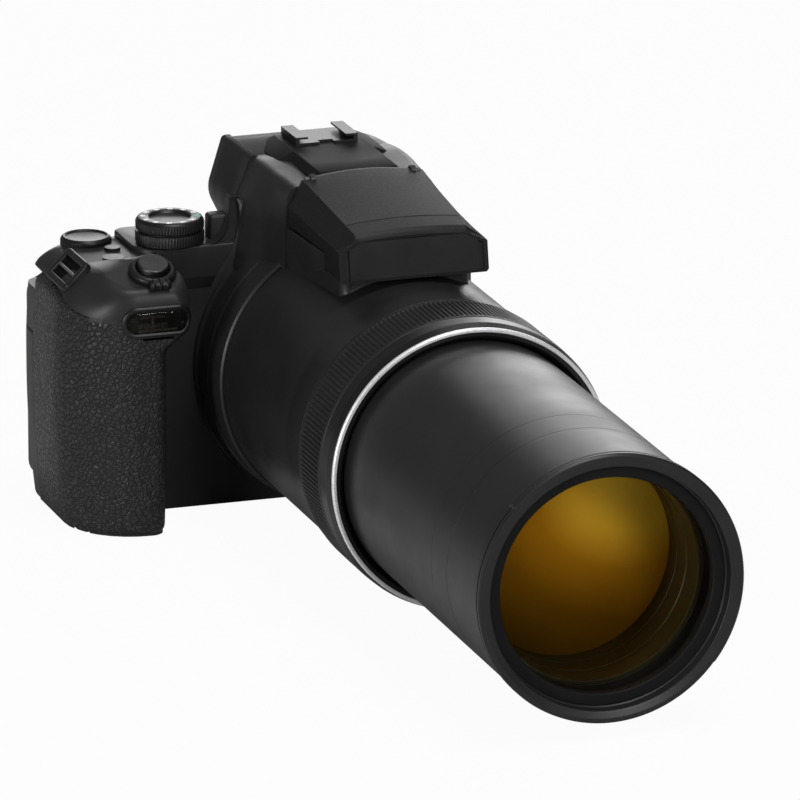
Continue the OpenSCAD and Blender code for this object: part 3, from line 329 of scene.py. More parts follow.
def leatherette(name, dark, light):
    """Pebbled rubber: rounded cells of uneven size with creases between them, the creases painted darker as
    shade.
    """
    f = Finish(name)
    bent = f.add("ShaderNodeVectorMath", operation="ADD")
    wander = f.add("ShaderNodeTexNoise")
    wander.inputs["Scale"].default_value = 0.6 / MM
    f.join(f.place, wander.inputs["Vector"])
    pull = f.add("ShaderNodeVectorMath", operation="SCALE")
    pull.inputs["Scale"].default_value = 0.9 * MM
    f.join(wander.outputs["Color"], pull.inputs[0])
    f.join(f.place, bent.inputs[0])
    f.join(pull.outputs[0], bent.inputs[1])
    crease = f.cells(0.6, "DISTANCE_TO_EDGE", bent.outputs[0])
    pebble_and_crease_shade = f.spread(crease, 0.0, 0.22)
    fine = f.noise(3.5, 2)
    height = f.math("ADD", pebble_and_crease_shade, f.math("MULTIPLY", fine, 0.18))
    # painted shade: the colour is darker in the creases between the pebbles and lighter on their tops
    f.colour(pebble_and_crease_shade, [(0.0, dark), (1.0, light)])
    f.roughness(pebble_and_crease_shade, 0, 1, 0.55, 0.34)
    f.bump(height, 0.22)
    f.set(Specular_IOR_Level=0.25)
    return f.material


def turned_metal(name, dark, light, gloss, grain, metal=1.0):
    """Worked metal: a fine grain in the colour, in the gloss and, hardly felt, in the bump."""
    f = Finish(name)
    fine = f.noise(grain, 2, 0.5)
    f.colour(fine, [(0.3, dark), (0.7, light)])
    f.roughness(fine, 0.3, 0.7, gloss - METAL_DRIFT, gloss + METAL_DRIFT)
    f.bump(fine, 0.002)
    f.set(Metallic=metal)
    return f.material


def coated_glass_painted_highlight(name):
    """Coated inner glass with a painted highlight: its colour runs from bright amber to brown with the
    distance from a point in its upper right, over the coating's own amber tint."""
    f = Finish(name)
    # centre of the painted highlight, up and to the right of the lens axis
    mapping = f.add("ShaderNodeMapping")
    mapping.inputs["Location"].default_value = (-0.02, 0.0, -(AXIS + 25) * MM)
    f.join(f.place, mapping.inputs["Vector"])
    flat = f.add("ShaderNodeVectorMath", operation="MULTIPLY")
    flat.inputs[1].default_value = (1, 0, 1)
    f.join(mapping.outputs[0], flat.inputs[0])
    away = f.add("ShaderNodeVectorMath", operation="LENGTH")
    f.join(flat.outputs[0], away.inputs[0])
    radius = f.math("MULTIPLY", away.outputs["Value"], 1 / (64 * MM))
    # painted highlight: bright amber near that point, brown further out
    f.colour(radius, [
        (0.0, (1.0, 0.68, 0.08)), (0.3, (1.0, 0.6, 0.05)), (0.5, (0.5, 0.23, 0.01)),
        (0.75, (0.2, 0.09, 0.003)), (1.0, (0.1, 0.05, 0.002)),
    ])
    f.roughness(f.noise(0.4, 2), 0.3, 0.7, 0.4, 0.46)
    f.set(Specular_IOR_Level=0.1, Specular_Tint=(1, 0.6, 0.1, 1), Metallic=0.5)
    return f.material


def clear_glass(name, bend, shine):
    """Clear glass: lets light straight through with a faint warm tint and mirrors more towards its edge."""
    f = Finish(name)
    through_glass = f.add("ShaderNodeBsdfTransparent")
    tint = f.ramp(f.noise(0.03, 2), [(0.3, (0.9, 0.88, 0.82)), (0.7, (0.94, 0.92, 0.88))])
    f.join(tint, through_glass.inputs["Color"])
    mirror = f.add("ShaderNodeBsdfGlossy")
    mirror.inputs["Roughness"].default_value = 0.03
    mirror.inputs["Color"].default_value = (*shine, 1)
    edge = f.add("ShaderNodeFresnel")
    edge.inputs["IOR"].default_value = bend
    f.surface(edge.outputs[0], through_glass.outputs[0], mirror.outputs[0])
    return f.material


BODY = grained_plastic("body_plastic", 0.012, 0.018, 0.4, 3.0, 0.02)
SATIN = grained_plastic("satin_plastic", 0.006, 0.01, 0.3, 4.0, 0.01, 0.3)
BARREL = grained_plastic("barrel_plastic", 0.01, 0.015, 0.36, 3.5, 0.01, 0.3)
ROUGH = speckled_plastic("speckled_plastic", 0.005, 0.011, 0.045)
RUBBER = grained_plastic("rib_rubber", 0.009, 0.014, 0.45, 2.4, 0.02, 0.35)
KEYS = grained_plastic("key_plastic", 0.006, 0.01, 0.36, 4.0, 0.008, 0.25)
INNER = grained_plastic("inner_black", 0.003, 0.005, 0.7, 2.0, 0.02, 0.1)
KEEPER = grained_plastic("flat_black", 0.004, 0.006, 0.6, 2.0, 0.02, 0.15)
WINDOW = grained_plastic("dark_window", 0.006, 0.012, 0.1, 0.5, 0.0, 0.5)
SCREEN = grained_plastic("screen_glass", 0.004, 0.007, 0.08, 0.3, 0.0, 0.5)
GROUP_TUBE = tinted_plastic("tube_olive", (0.012, 0.01, 0.002), (0.024, 0.02, 0.003), 0.5, 2.0, 0.01)
BOARD = tinted_plastic("board_green", (0.01, 0.05, 0.025), (0.015, 0.08, 0.04), 0.4, 1.5, 0.02)
WHITE = tinted_plastic("white_marks", (0.7, 0.7, 0.7), (0.8, 0.8, 0.8), 0.5, 2.0, 0.0)
GREEN = tinted_plastic("green_mark", (0.02, 0.3, 0.26), (0.03, 0.36, 0.32), 0.5, 2.0, 0.0)
GRIP = leatherette("grip_leatherette", (0.006, 0.006, 0.006), (0.022, 0.022, 0.022))
SILVER = turned_metal("bright_trim", (0.75, 0.75, 0.76), (0.9, 0.9, 0.91), 0.32, 2.0, 0.5)
STEEL = turned_metal("plain_steel", (0.34, 0.34, 0.35), (0.5, 0.5, 0.51), 0.34, 2.0)
DARK_METAL = turned_metal("dark_metal", (0.05, 0.05, 0.052), (0.08, 0.08, 0.082), 0.38, 2.0)
SHOE = turned_metal("shoe_metal", (0.06, 0.06, 0.062), (0.1, 0.1, 0.102), 0.4, 2.0)
AMBER_PAINTED_HIGHLIGHT = coated_glass_painted_highlight("amber_glass_painted_highlight")
FRONT_GLASS = clear_glass("front_glass", 1.06, (0.5, 0.4, 0.15))
LAMP_GLASS = clear_glass("lamp_glass", 1.25, (0.8, 0.8, 0.8))

NODE_FINISH = {
    BODY: ["front_cover", "rear_cover", "top_cover", "base_plate", "lens_collar", "eyecup"],
    GRIP: ["grip_skin"],
    BARREL: ["fixed_barrel", "extension_barrel", "front_rim"],
    SATIN: ["front_bezel", "retainer_ring", "zoom_cell", "focus_cell", "flash_panel", "lamp_bezel",
            "monitor_shell", "battery_door", "side_zoom_lever", "battery"],
    RUBBER: ["control_ring", "connector_cover"],
    SILVER: ["trim_ring", "flash_reflector"],
    ROUGH: ["flash_head"],
    FRONT_GLASS: ["front_element"],
    WINDOW: ["zoom_lens", "focus_lens", "flash_window", "eyepiece_lens", "lamp_window"],
    SCREEN: ["monitor_screen"],
    STEEL: ["tripod_socket", "monitor_pin"],
    SHOE: ["accessory_shoe"],
    DARK_METAL: ["case_screws", "cam_tube", "guide_tube", "image_sensor", "zoom_motor", "flash_bracket",
                 "flash_pin", "finder_display", "strap_eyelets"],
    BOARD: ["main_board"],
    KEYS: ["mode_dial", "command_dial", "shutter_button", "zoom_lever", "power_button", "function_button",
           "sight_wheel", "flash_button", "selector_ring", "ok_button", "movie_button", "lock_button",
           "play_button", "menu_button", "delete_button"],
}
for finish, names in NODE_FINISH.items():
    for name in names:
        NODES[name].data.materials.clear()
        NODES[name].data.materials.append(finish)


# Lens pieces, each a profile carried round the lens axis

def soft_profile(corners, steps=5, hold=0.4):
    """Profile of (radius, y, rounding) corners, each eased by its own small arc, with a point held close to
    both ends of every long side so that its shading stays even."""
    outline = rounded(corners, steps)
    ends = np.roll(outline, -1, 0)
    length = np.linalg.norm(ends - outline, axis=1)
    step = (ends - outline) * (hold / np.maximum(length, 1e-9))[:, None]
    long = length > 3 * hold
    kept = np.stack([np.full(len(long), True), long, long], 1)
    return np.stack([outline, outline + step, ends - step], 1)[kept]


def dress(made, finish, slot, *nodes):
    """Gives a piece its finish and lets it stand for the CAD nodes it covers, hiding them; the slot is not
    used.
    """
    made.data.materials.append(finish)
    if nodes:
        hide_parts(*nodes)
    return made


def lens_part(name, corners, body, finish, slot, node, turns=256, shape=None):
    """Piece of the lens: a soft profile carried round the axis, standing for a CAD node."""
    dress(lathe(name, soft_profile(corners), body, turns, shape), finish, slot, node)


def pocketed(r, y, angle):
    """Barrel radius, sunk where the side lever sits."""
    inside = (np.abs(y + 65) < 11) & (np.abs(angle - np.pi / 2) < 0.27)
    return np.where((r > 45.9) & inside, 44.3, r)


def stepped(r, y, angle):
    """Flange radius: full round the top and the right, lower with a deeper groove along the lower left."""
    turn = (angle + np.pi) % (2 * np.pi) - np.pi
    low = (turn < math.radians(-48)) | (turn > math.radians(129))
    groove = np.abs(y + 277.6) < 0.35
    return np.where((r > 42.4) & low, r - 0.5 - 0.4 * groove, r)


def lens_pieces():
    """Fixed barrel, bezel, trim, extension barrel and rim, with the radii of the CAD nodes they cover."""
    lens_part("barrel_shell", [
        (43, 5.5, 0.1), (45.2, 5.5, 0.1), (45.2, -9.9, 0.1), (46, -9.9, 0.1), (46, -54, 0.02),
        (46, -76, 0.02), (46, -101, 30), (47.2, -117.1, 0.4), (47.2, -117.9, 0.1), (44.6, -117.9, 0.1),
        (44.6, -139.4, 0.1), (44, -139.4, 0.1), (44, -145, 0.1), (43, -145, 0.1),
    ], "camera", BARREL, "barrel_black", "fixed_barrel", 360, pocketed)
    lens_part("bezel_shell", [
        (44.05, -139.4, 0.05), (47.4, -139.4, 0.3), (47.2, -145.2, 1.2), (46.45, -148.2, 0.15),
        (45, -148.2, 0.05), (45, -149, 0.1), (43.7, -149, 0.5), (42.6, -147.9, 0.2), (42.6, -145.1, 0.1),
        (44.05, -145.1, 0.05),
    ], "camera", SATIN, "barrel_black", "front_bezel")
    lens_part("trim_band", [
        (45.05, -148.22, 0.05), (46.38, -148.22, 0.1), (46.36, -149.1, 0.3), (45.9, -149.4, 0.3),
        (45.05, -149.4, 0.1),
    ], "camera", SILVER, "trim_silver", "trim_ring")
    lens_part("sliding_barrel", [
        (40.2, -120, 0.2), (42, -120, 0.3), (42, -233, 0.05), (41.93, -233.12, 0.03), (42, -233.24, 0.05),
        (42, -247.95, 0.1), (41.1, -248, 0.05), (41.1, -258, 0.1), (40.2, -258, 0.1),
    ], "zoom_barrel", BARREL, "barrel_black", "extension_barrel")
    lens_part("front_rim_shell", [
        (41.15, -248.1, 0.05), (42, -248.1, 0.1), (42, -274.8, 0.6), (42.6, -275.4, 0.2), (43, -276.0, 0.3),
        (43, -277.2, 0.2), (42.75, -277.4, 0.05), (42.75, -277.8, 0.05), (43, -278, 0.2), (43, -279.1, 0.5),
        (42.4, -280, 0.5), (40.9, -280, 0.5), (38.7, -279.2, 0.3), (38.5, -275.9, 0.15), (38.1, -275.7, 0.1),
        (38.1, -264, 0.1), (35.1, -264, 0.1), (35.1, -261.6, 0.1), (38.1, -261.6, 0.1), (38.1, -258.2, 0.1),
        (41.15, -258.2, 0.05),
    ], "zoom_barrel", BARREL, "barrel_black", "front_rim", 360, stepped)
    lens_part("glass_keeper", [
        (34.3, -275.3, 0.2), (34.6, -275.7, 0.2), (38.05, -275.7, 0.1), (38.05, -272.5, 0.1),
        (34.3, -272.5, 0.1),
    ], "zoom_barrel", KEEPER, "barrel_black", "retainer_ring")


def rib_dip(ribs, angle):
    """How far a ribbed surface dips between ribs, from 0 to 1: a cosine of the angle cut off flat."""
    return np.clip(0.5 - 0.9 * np.cos(ribs * angle), 0, 1)


def ribbed_ring():
    """Rubber ring with ribs along the lens: its radius dips between the ribs, and the dip fades out at the
    plain bands along both edges."""
    ribs, per_rib = 190, 8
    along = np.array([-139, -138.8, -138.2, -137.4, -137.1, -136.4,
                      -120.9, -120.2, -119.9, -119.1, -118.5, -118.3])
    angle = full_turn(ribs * per_rib)
    depth = np.interp(along, [-138.2, -137.4, -137.1, -136.4, -120.9, -120.2, -119.9, -119.1],
                      [0, 0, 0.3, 0.55, 0.55, 0.3, 0, 0])
    edge = np.interp(along, [-139, -138.8, -138.2, -119.1, -118.5, -118.3], [0.35, 0.1, 0, 0, 0.1, 0.35])
    outer = 47.38 - edge[:, None] - depth[:, None] * rib_dip(ribs, angle)
    inner = np.full((2, len(angle)), 44.66)
    radius = np.concatenate([outer, inner])
    y = np.concatenate([along, along[[-1, 0]]])[:, None]
    faces = quads(len(radius), len(angle), True, True)
    ring = piece("ribbed_ring", round_axis(radius, y, angle), faces, "control_ring", 50)
    dress(ring, RUBBER, "ring_rubber", "control_ring")


def dome(name, radius, edge_y, rise, back_y):
    """Lens body in the sliding barrel: a front face whose depth falls off with the square of the radius,
    a straight edge and a flat back."""
    share = np.linspace(0, 1, 40)
    r = np.concatenate([share * radius, [radius, radius, 0]])[:, None]
    y = np.concatenate([edge_y - rise * (1 - share ** 2), [edge_y + 0.4, back_y, back_y]])[:, None]
    angle = full_turn(192)
    return piece(name, round_axis(r, y, angle), quads(len(r), len(angle)), "zoom_barrel", 40)


def front_group():
    """Clear front glass, and the coated second glass deep in its tube behind it."""
    dress(dome("front_glass", 38, -271.1, 4.5, -264.2), FRONT_GLASS, "clear_glass", "front_element")
    lens_part("group_tube", [
        (33.7, -264, 0.1), (35.05, -264, 0.1), (35.05, -261.7, 0.1), (34.3, -261.7, 0.1), (34.3, -235.4, 0.2),
        (32.6, -235.4, 0.1), (32.6, -236.2, 0.1), (33.2, -236.2, 0.1), (33.2, -246, 0.2), (33.45, -246.3, 0.1),
        (33.45, -254, 0.1), (33.7, -254.3, 0.1),
    ], "zoom_barrel", GROUP_TUBE, "inner_metal", "front_rim")
    dress(dome("coated_second_glass", 33.1, -239.7, 2.1, -236.9), AMBER_PAINTED_HIGHLIGHT, "lens_glass", "front_element")


# Body pieces

SEAM, SHOULDER, RIDGE, DECK, BED, SLAB = 74.3, 86.8, 89.6, 88.6, 99.0, 116.2
LEFT, NOSE, FINGER, SIDE, FACE, BACK = -98.9, -42.0, -66.5, 47.6, -12.6, 17.0
NOSE_TILT = math.radians(20)


def through(stations, values, at):
    """Smooth curve through values at stations: cubic Hermite pieces with centred slopes."""
    x, v, at = np.asarray(stations, float), np.asarray(values, float), np.asarray(at, float)
    slope = np.gradient(v, x, axis=0)
    k = np.clip(np.searchsorted(x, at) - 1, 0, len(x) - 2)
    h = x[k + 1] - x[k]
    s = (at - x[k]) / h
    if v.ndim > 1:
        h, s = h[:, None], s[:, None]
    return ((1 + 2 * s) * (1 - s) ** 2 * v[k] + s * (1 - s) ** 2 * h * slope[k]
            + s ** 2 * (3 - 2 * s) * v[k + 1] + s ** 2 * (s - 1) * h * slope[k + 1])


def left_side(z):
    """Left face of the grip: drawn in towards the foot and a little towards the top."""
    return LEFT + 2.9 * np.clip((46 - z) / 46, 0, None) ** 2 + 1.2 * np.clip((z - 52) / 26, 0, None) ** 2


def plan(z, inset, steps):
    """Outline of the body at one height: grip nose on the left, finger hollow, then the flat front face."""
    left = left_side(z) + inset
    nose = NOSE + 2.4 * max(0, (46 - z) / 46) ** 2 + inset
    finger = FINGER + 8.3 * ease(SEAM - 13.3, SEAM - 4.3, z) - inset
    return rounded([(left, 4, 0), (left, nose, 23 - inset), (finger, nose, 5 - inset),
                    (finger, FACE + inset, 5 + inset), (SIDE, FACE + inset, 5), (SIDE, 4, 0)], steps)


def seam_height(y):
    """Height of the joint under the top cover: level across the nose, rising along the grip's left side."""
    return 74.1 + 5.7 * ease(-38, -18, y)


def lean(z):
    """How far the grip's left side leans in above its widest height."""
    return 0.16 * np.clip(z - 76.5, 0, None) ** 2


def grip_wrap():
    """Leatherette over the grip: plan outlines from foot to seam, each column stretched up to the seam,
    with the rows sunk at the seam and rounded in under the foot."""
    levels = np.linspace(0.4, 82, 170)
    steps = 24
    keep = slice(steps, 3 * (steps + 1) + steps // 2)
    outer = np.stack([plan(z, 0.0, steps)[keep] for z in levels])
    sunk = np.stack([plan(z, 0.8, steps)[keep] for z in levels])
    top = seam_height(outer[120, :, 1]) - 0.15
    v = np.concatenate([[0, 0.004, 0.01, 0.018, 0.028], np.linspace(0.04, 0.98, 70), [0.99, 0.996, 1]])
    height = 0.5 + (top - 0.5) * v[:, None]
    row = (height - levels[0]) / (levels[1] - levels[0])
    k = np.clip(row.astype(int), 0, len(levels) - 2)
    share = (row - k)[..., None]
    col = np.arange(outer.shape[1])
    skin = outer[k, col] * (1 - share) + outer[k + 1, col] * share
    under = sunk[k, col] * (1 - share) + sunk[k + 1, col] * share
    sink = np.interp(v, [0, 0.004, 0.01, 0.018, 0.028, 0.04, 0.98, 0.99, 1],
                     [2.2, 1.5, 0.85, 0.35, 0.1, 0, 0, 0.15, 0.8])[:, None, None]
    flat = skin * (1 - sink) + under * sink
    points = np.concatenate([flat, height[..., None]], -1)
    points[..., 0] += lean(height) * ease(-88, -94, points[..., 0])
    wrap = piece("grip_wrap", points, quads(*points.shape[:2], False, False), "camera", closed=False)
    thicken(wrap, -1)
    dress(wrap, GRIP, "grip_rubber", "grip_skin")


def grip_heel():
    """Smooth rear corner of the grip: the left face, a round and the start of the back, carried up from a
    foot that is rounded in."""
    bend = 6
    z = np.concatenate([[0.5, 0.9, 1.5, 2.2, 3.2], np.linspace(4.5, 60, 30)])
    under = 1.7 * np.clip(1 - (z - 0.5) / 2.7, 0, 1)[:, None] ** 2
    turn = np.linspace(np.pi, np.pi / 2, 14)
    x = np.concatenate([[-bend, -bend, -bend], bend * np.cos(turn), [3, 6]]) + bend
    y = np.concatenate([[3.9, 4.6, 8], BACK - bend + bend * np.sin(turn), [BACK, BACK]])
    pull = np.where(y > BACK - 5.9, np.sin(np.pi / 2 * np.clip((y - BACK + bend) / bend, 0, 1)), 0)
    points = np.stack([x + left_side(z)[:, None] + under, y - under * pull, z[:, None] + 0 * y], -1)
    heel = piece("grip_heel", points, quads(*points.shape[:2], False, False), "camera", closed=False)
    thicken(heel, 1)
    dress(heel, BODY, "body_black")


def door_leaf():
    """Battery door: a plate whose outer front corner follows the round of the grip, a thumb hollow under it,
    and the hinge roll with its pin along the inner edge."""
    hinge, low, high = -70.2, 0.3, 1.9
    y = np.concatenate([np.linspace(-29, -14.05, 24), [-13.95, -8.05, -7.95], np.linspace(-6, 8, 4)])
    left = np.maximum(-93, -73.1 - np.sqrt(23 ** 2 - np.clip(y + 16.7, None, 0) ** 2) + 1.5)
    deep = np.where(np.abs(y + 11) < 3, 0.8, low)
    rows = [upright(np.array([
        (edge, low), (-91, low), (-90.9, hollow), (-86.1, hollow), (-86, low),
        (hinge, low), (hinge, high), (edge, high),
    ]), at) for edge, at, hollow in zip(left, y, deep)]
    dress(loft("door_leaf", rows, "battery_door", 30), SATIN, "key_black", "battery_door")
    angle = full_turn(24)
    ring = np.column_stack([np.cos(angle), np.sin(angle)])
    rows = [upright(r * ring + [hinge, 1.1], at)
            for at, r in ((-31, 0.5), (-29, 0.5), (-28.99, 0.79), (7.99, 0.79), (8, 0.5), (10, 0.5))]
    dress(loft("door_roll", rows, "battery_door", 30), SATIN, "key_black")


def rise_over(foot, crest, low, high, steps, round_off):
    """Wall between two outlines: drawn in with a power of the height's share, so that 2 is nearly a quarter
    ellipse and 1 a straight chamfer."""
    t = np.linspace(0, 1, steps)[:, None]
    inward, up = t ** round_off, 1 - (1 - t) ** round_off
    flat = foot + (crest - foot) * inward[..., None]
    return np.concatenate([flat, (low + (high - low) * up)[..., None]], -1)


def shoulder_shell():
    """Broad top over the body: walls that rise from the seam to the flat shoulder, with a long slope on the
    left."""
    def outline(left, right, back, front):
        """Outline whose part over the grip runs further forward."""
        return rounded([(left, back, 6), (left, -24, 1), (-60, -24, 1), (-60, front, 1),
                        (right, front, 5), (right, back, 5)], 8)

    foot = outline(LEFT + 3.3, SIDE, BACK, FACE)
    crest = outline(-84.5, SIDE - 12, BACK - 4, FACE + 0.5)
    on_grip = foot[:, 0] < -61
    low = np.where(on_grip, seam_height(foot[:, 1]), SEAM) + 0.1
    walls = rise_over(foot, crest, low, SHOULDER + 0 * low, 16, np.where(on_grip, 1.4, 2.0))
    return loft("shoulder_shell", walls, "camera", 40)


def nose_height(y):
    """Top of the shutter nose: a slope to the front and a shallow fall to the back that meet in a soft
    ridge."""
    front, back = RIDGE + (y + 22) * math.tan(NOSE_TILT), RIDGE - (y + 22) * 0.36
    return (front + back - np.sqrt((front - back) ** 2 + 1.0)) / 2


def nose_shell():
    """Shutter nose: walls from the seam up to a smaller outline on the slope, closed by rings that shrink
    to the middle of that slope."""
    foot = rounded([(LEFT + 0.9, -14, 1), (LEFT + 0.9, NOSE, 23), (-58.2, NOSE, 5), (-58.2, -14, 1)], 24)
    crest = rounded([(-84.5, -14, 1), (-84.5, -37.8, 9), (-61.6, -37.8, 8), (-61.6, -14, 1)], 24)
    low = seam_height(foot[:, 1]) + 0.1
    foot[:, 0] += lean(low) * ease(-88, -94, foot[:, 0])
    round_off = 2.0 - 0.6 * ease(-76, -94, foot[:, 0])
    walls = rise_over(foot, crest, low, nose_height(crest[:, 1]), 22, round_off)
    q = np.linspace(0, 1, 24)[1:, None, None]
    inner = crest * (1 - q) + np.array([-72, -25]) * q
    lid = np.concatenate([inner, nose_height(inner[..., 1:])], -1)
    points = np.concatenate([walls, lid])
    rows, cols = points.shape[:2]
    return piece("nose_shell", points, quads(rows, cols).tolist() + [list(range(cols))], "camera", 60)


def deck_plate():
    """Raised plate under the mode dial: one outline, drawn in at the top by a small quarter round."""
    rows = [level(rounded([
        (-68 + inset, -9 + inset, 9), (-62 + inset, FACE + inset, 4), (-30 - inset, FACE + inset, 1),
        (-30 - inset, BACK - inset, 1), (-68 + inset, BACK - inset, 4),
    ], 10), z) for inset, z in ((0, 78), (0, DECK - 0.7), (0.1, DECK - 0.35), (0.35, DECK - 0.1), (0.7, DECK))]
    return loft("deck_plate", rows, "camera", 40)


def fin_plate():
    """Fin from the deck up to the hump: an outline in the front plane with one long hollow curve, swept
    back."""
    root, foot, tip = -38.5, DECK - 0.6, 102.7
    flat = rounded([(root - 16, foot - 3, 0), (root - 16, foot, 0.2), (root, foot, 9), (root + 3.1, tip, 0.9),
                    (root + 6.6, tip, 0.9), (root + 6.6, foot - 3, 0)], 12)
    x, z = flat.T
    swept = 4.5 * ease(90, 104, z)
    inward = np.sign(root + 3 - x)
    rows = [np.column_stack([x + d * inward, FACE + 0.02 + d + swept * (1 - k), z - d])
            for d, k in ((0.4, 0), (0.12, 0), (0, 0.1))]
    return loft("fin_plate", rows + [upright(flat, -4.0)], "camera", 40)


# Stations of the hump's neck, its foot and waist on each side, and the half width and height of its edge
NECK_AT = [-37, -31, -25, -18, -13.6, -5, 4, 10]
NECK_LEFT = [[26, 25.6], [27.6, 26.8], [30, 28.4], [34, 31],
             [36, 32], [34.6, 31.4], [32.6, 29.6], [31, 27.6]]
NECK_RIGHT = [[26, 25.6], [27.6, 26.8], [30, 28.4], [34, 31],
              [36, 32.4], [34.6, 32.8], [33.4, 32.8], [32.6, 32.4]]
NECK_EDGE = [[24.6, 112.6], [24.6, 112.7], [24.6, 112.9], [24.6, 113.1],
             [24.6, 113.3], [24.6, 113.4], [24.5, 112.6], [24, 111.8]]


def barrel_top(x, floor):
    """Underside of what sits on the barrel: the barrel's own arc, no lower than the floor given."""
    return np.maximum(AXIS + np.sqrt(np.maximum(45.4 ** 2 - x ** 2, 0)), floor)


def neck_shell():
    """Neck of the hump: sections across the camera with foot, waist and a rounded ridge on each side,
    the widths following smooth curves along the lens."""
    y = np.linspace(NECK_AT[0], NECK_AT[-1], 60)
    left, right, edge = (through(NECK_AT, v, y) for v in (NECK_LEFT, NECK_RIGHT, NECK_EDGE))
    under = np.interp(y, [-37, -13.6, 10], [82, 80, 80])
    rows = []
    for at, low, (foot, waist), (right_foot, right_waist), (half, rise) in zip(y, under, left, right, edge):
        flat = rounded([
            (-foot, low, 0), (-waist, 100.4, 14), (-half, rise, 4.5), (-14, rise + 0.2, 3),
            (14, rise + 0.2, 3), (half, rise, 4.5), (right_waist, 100.4, 14), (right_foot, low, 0),
        ], 10)
        x = np.linspace(right_foot, -foot, 24)[1:-1]
        belly = np.column_stack([x, barrel_top(x, low)])
        rows.append(upright(np.concatenate([flat, belly]), at))
    return loft("neck_shell", rows, "camera", 40)


def finder_shell():
    """Finder block behind the neck: sections with bulged sides, the left one standing further out and
    higher, drawn in towards the front crease and the rear edge."""
    stations = [2.2, 4, 8, 12, 17, 20, 21.2]
    shape = [[27.6, 30.4, 25, 113.0, 29, 24, 110, 113.6],
             [29.4, 31.8, 26, 113.6, 31, 24.4, 111.6, 114.2],
             [30.8, 33.4, 27.4, 114.6, 32.2, 24.2, 112, 115],
             [31.4, 34.2, 28.4, 115.4, 32.4, 23.6, 112, 115.8],
             [31.6, 34.8, 29.2, 116, 32, 22.8, 111.8, 116.2],
             [31.4, 34.4, 29, 115.9, 31.4, 22.2, 111.2, 116],
             [30.4, 33.2, 28, 115.2, 30.2, 21.4, 110.4, 115.2]]
    y = np.concatenate([np.linspace(2.2, 20, 40), np.linspace(20, 21.2, 7)[1:]])
    rows = []
    for at, row in zip(y, through(stations, shape, y)):
        foot, waist, edge, rise, right, right_edge, right_rise, crown = row
        flat = rounded([
            (-foot + 3.4, 85, 1), (-waist, 98.4, 10), (-edge, rise, 1.8), (-edge + 2.4, rise + 0.1, 0.3),
            (-edge + 3.2, rise - 0.7, 0.4), (12, crown - 0.8, 8), (right_edge, right_rise, 4),
            (right, 98.4, 10), (right - 4, 85, 1),
        ], 12)
        rows.append(upright(flat, at))
    return loft("finder_shell", rows, "camera", 40)


def bed_shell():
    """Bed behind and under the flash: a flat top with upright sides whose lower edge climbs towards the
    front, flaring into the neck behind the flash."""
    half = 24.9
    y = np.concatenate([[-75.4, -75.3, -75], np.linspace(-73, -37.4, 14), np.linspace(-36, FACE, 22)])
    stations = [-76, -60, -37.4, -30, -22, FACE]
    flare = through(stations, [[0, 0], [0, 0], [0, 0], [2.6, 1], [7.6, 4], [13.4, 7.6]], y)
    under = np.interp(y, [-75.4, -37.4, -30, FACE], [94.5, 87.5, 83, 78])
    top = np.interp(y, [-75.4, -37.4], [100.7, BED])
    rows = []
    for at, (foot, waist), low, high in zip(y, flare, under, top):
        middle, bend = max(92, low + 2), 6 if foot else 0.1
        flat = rounded([(-half - foot, low, 0.1), (-half - waist, middle, bend), (-half, high, 0.6),
                        (half, high, 0.6), (half + waist, middle, bend), (half + foot, low, 0.1)], 8)
        x = np.linspace(half + foot, -half - foot, 40)[1:-1]
        belly = np.column_stack([x, barrel_top(x, low)])
        rows.append(upright(np.concatenate([flat, belly]), at))
    return loft("bed_shell", rows, "camera", 40)


def prow_shell():
    """Prow between the bed and the barrel: its plan narrows towards a front with round corners, and a small
    hollow foot runs out on to the barrel."""
    flat = split(rounded([(-24.7, -30, 1), (-24.7, -42, 40), (-21.6, -84, 3.4),
                          (21.6, -84, 3.4), (24.7, -42, 40), (24.7, -30, 1)], 14), 2.0)
    centre = np.array([0, -50])
    out = (flat - centre) / np.linalg.norm(flat - centre, axis=1)[:, None]
    rows = []
    for rise, spread_out in [(0, 1.1), (0.25, 0.5), (0.6, 0.18), (1.1, 0.0), (3, 0), (20, 0)]:
        ring = flat + out * spread_out
        foot = barrel_top(ring[:, 0], 80) + 0.1
        rows.append(np.column_stack([ring, np.minimum(foot + rise, 94.3)]))
    return loft("prow_shell", rows, "camera", 50)


def slab_shell():
    """Slab that carries the shoe: a low trapezium swept along the lens, its side chamfer broad beside the
    shoe and narrow ahead of it, with drawn-in ends."""
    y = np.array([-35.6, -35.3, -34.6, -24, -12, -11, -9.6, -8.2, -7.4, 0, 13.2, 13.8, 14])
    pull = np.interp(y, [-35.6, -35.3, -34.6, 13.2, 13.8, 14], [0.8, 0.3, 0, 0, 0.3, 0.8])
    wide = ease(-11.2, -7.4, y)
    rows = []
    for at, drawn, broad in zip(y, pull, wide):
        foot, rim = 15.2 + 4 * broad, 113.6 - 0.2 * broad
        flat = rounded([(-foot - 0.6, 110, 0.1), (-foot, rim, 0.5), (-13.2 + drawn, SLAB - drawn, 0.6),
                        (13.2 - drawn, SLAB - drawn, 0.6), (foot, rim, 0.5), (foot + 0.6, 110, 0.1)], 6)
        rows.append(upright(flat, at))
    return loft("slab_shell", rows, "camera", 30)


def fin_knob():
    """Small block behind the fin, with an eased top."""
    rows = [level(rounded([
        (-42 + inset, -7.6 + inset, 1.2), (-34, -7.6 + inset, 1), (-34, -1.5 - inset, 1),
        (-42 + inset, -1.5 - inset, 1.2),
    ], 6), z) for inset, z in ((0, 84), (0, 95.8), (0.15, 96.3), (0.5, 96.7), (0.9, 96.8))]
    return loft("fin_knob", rows, "camera", 40)


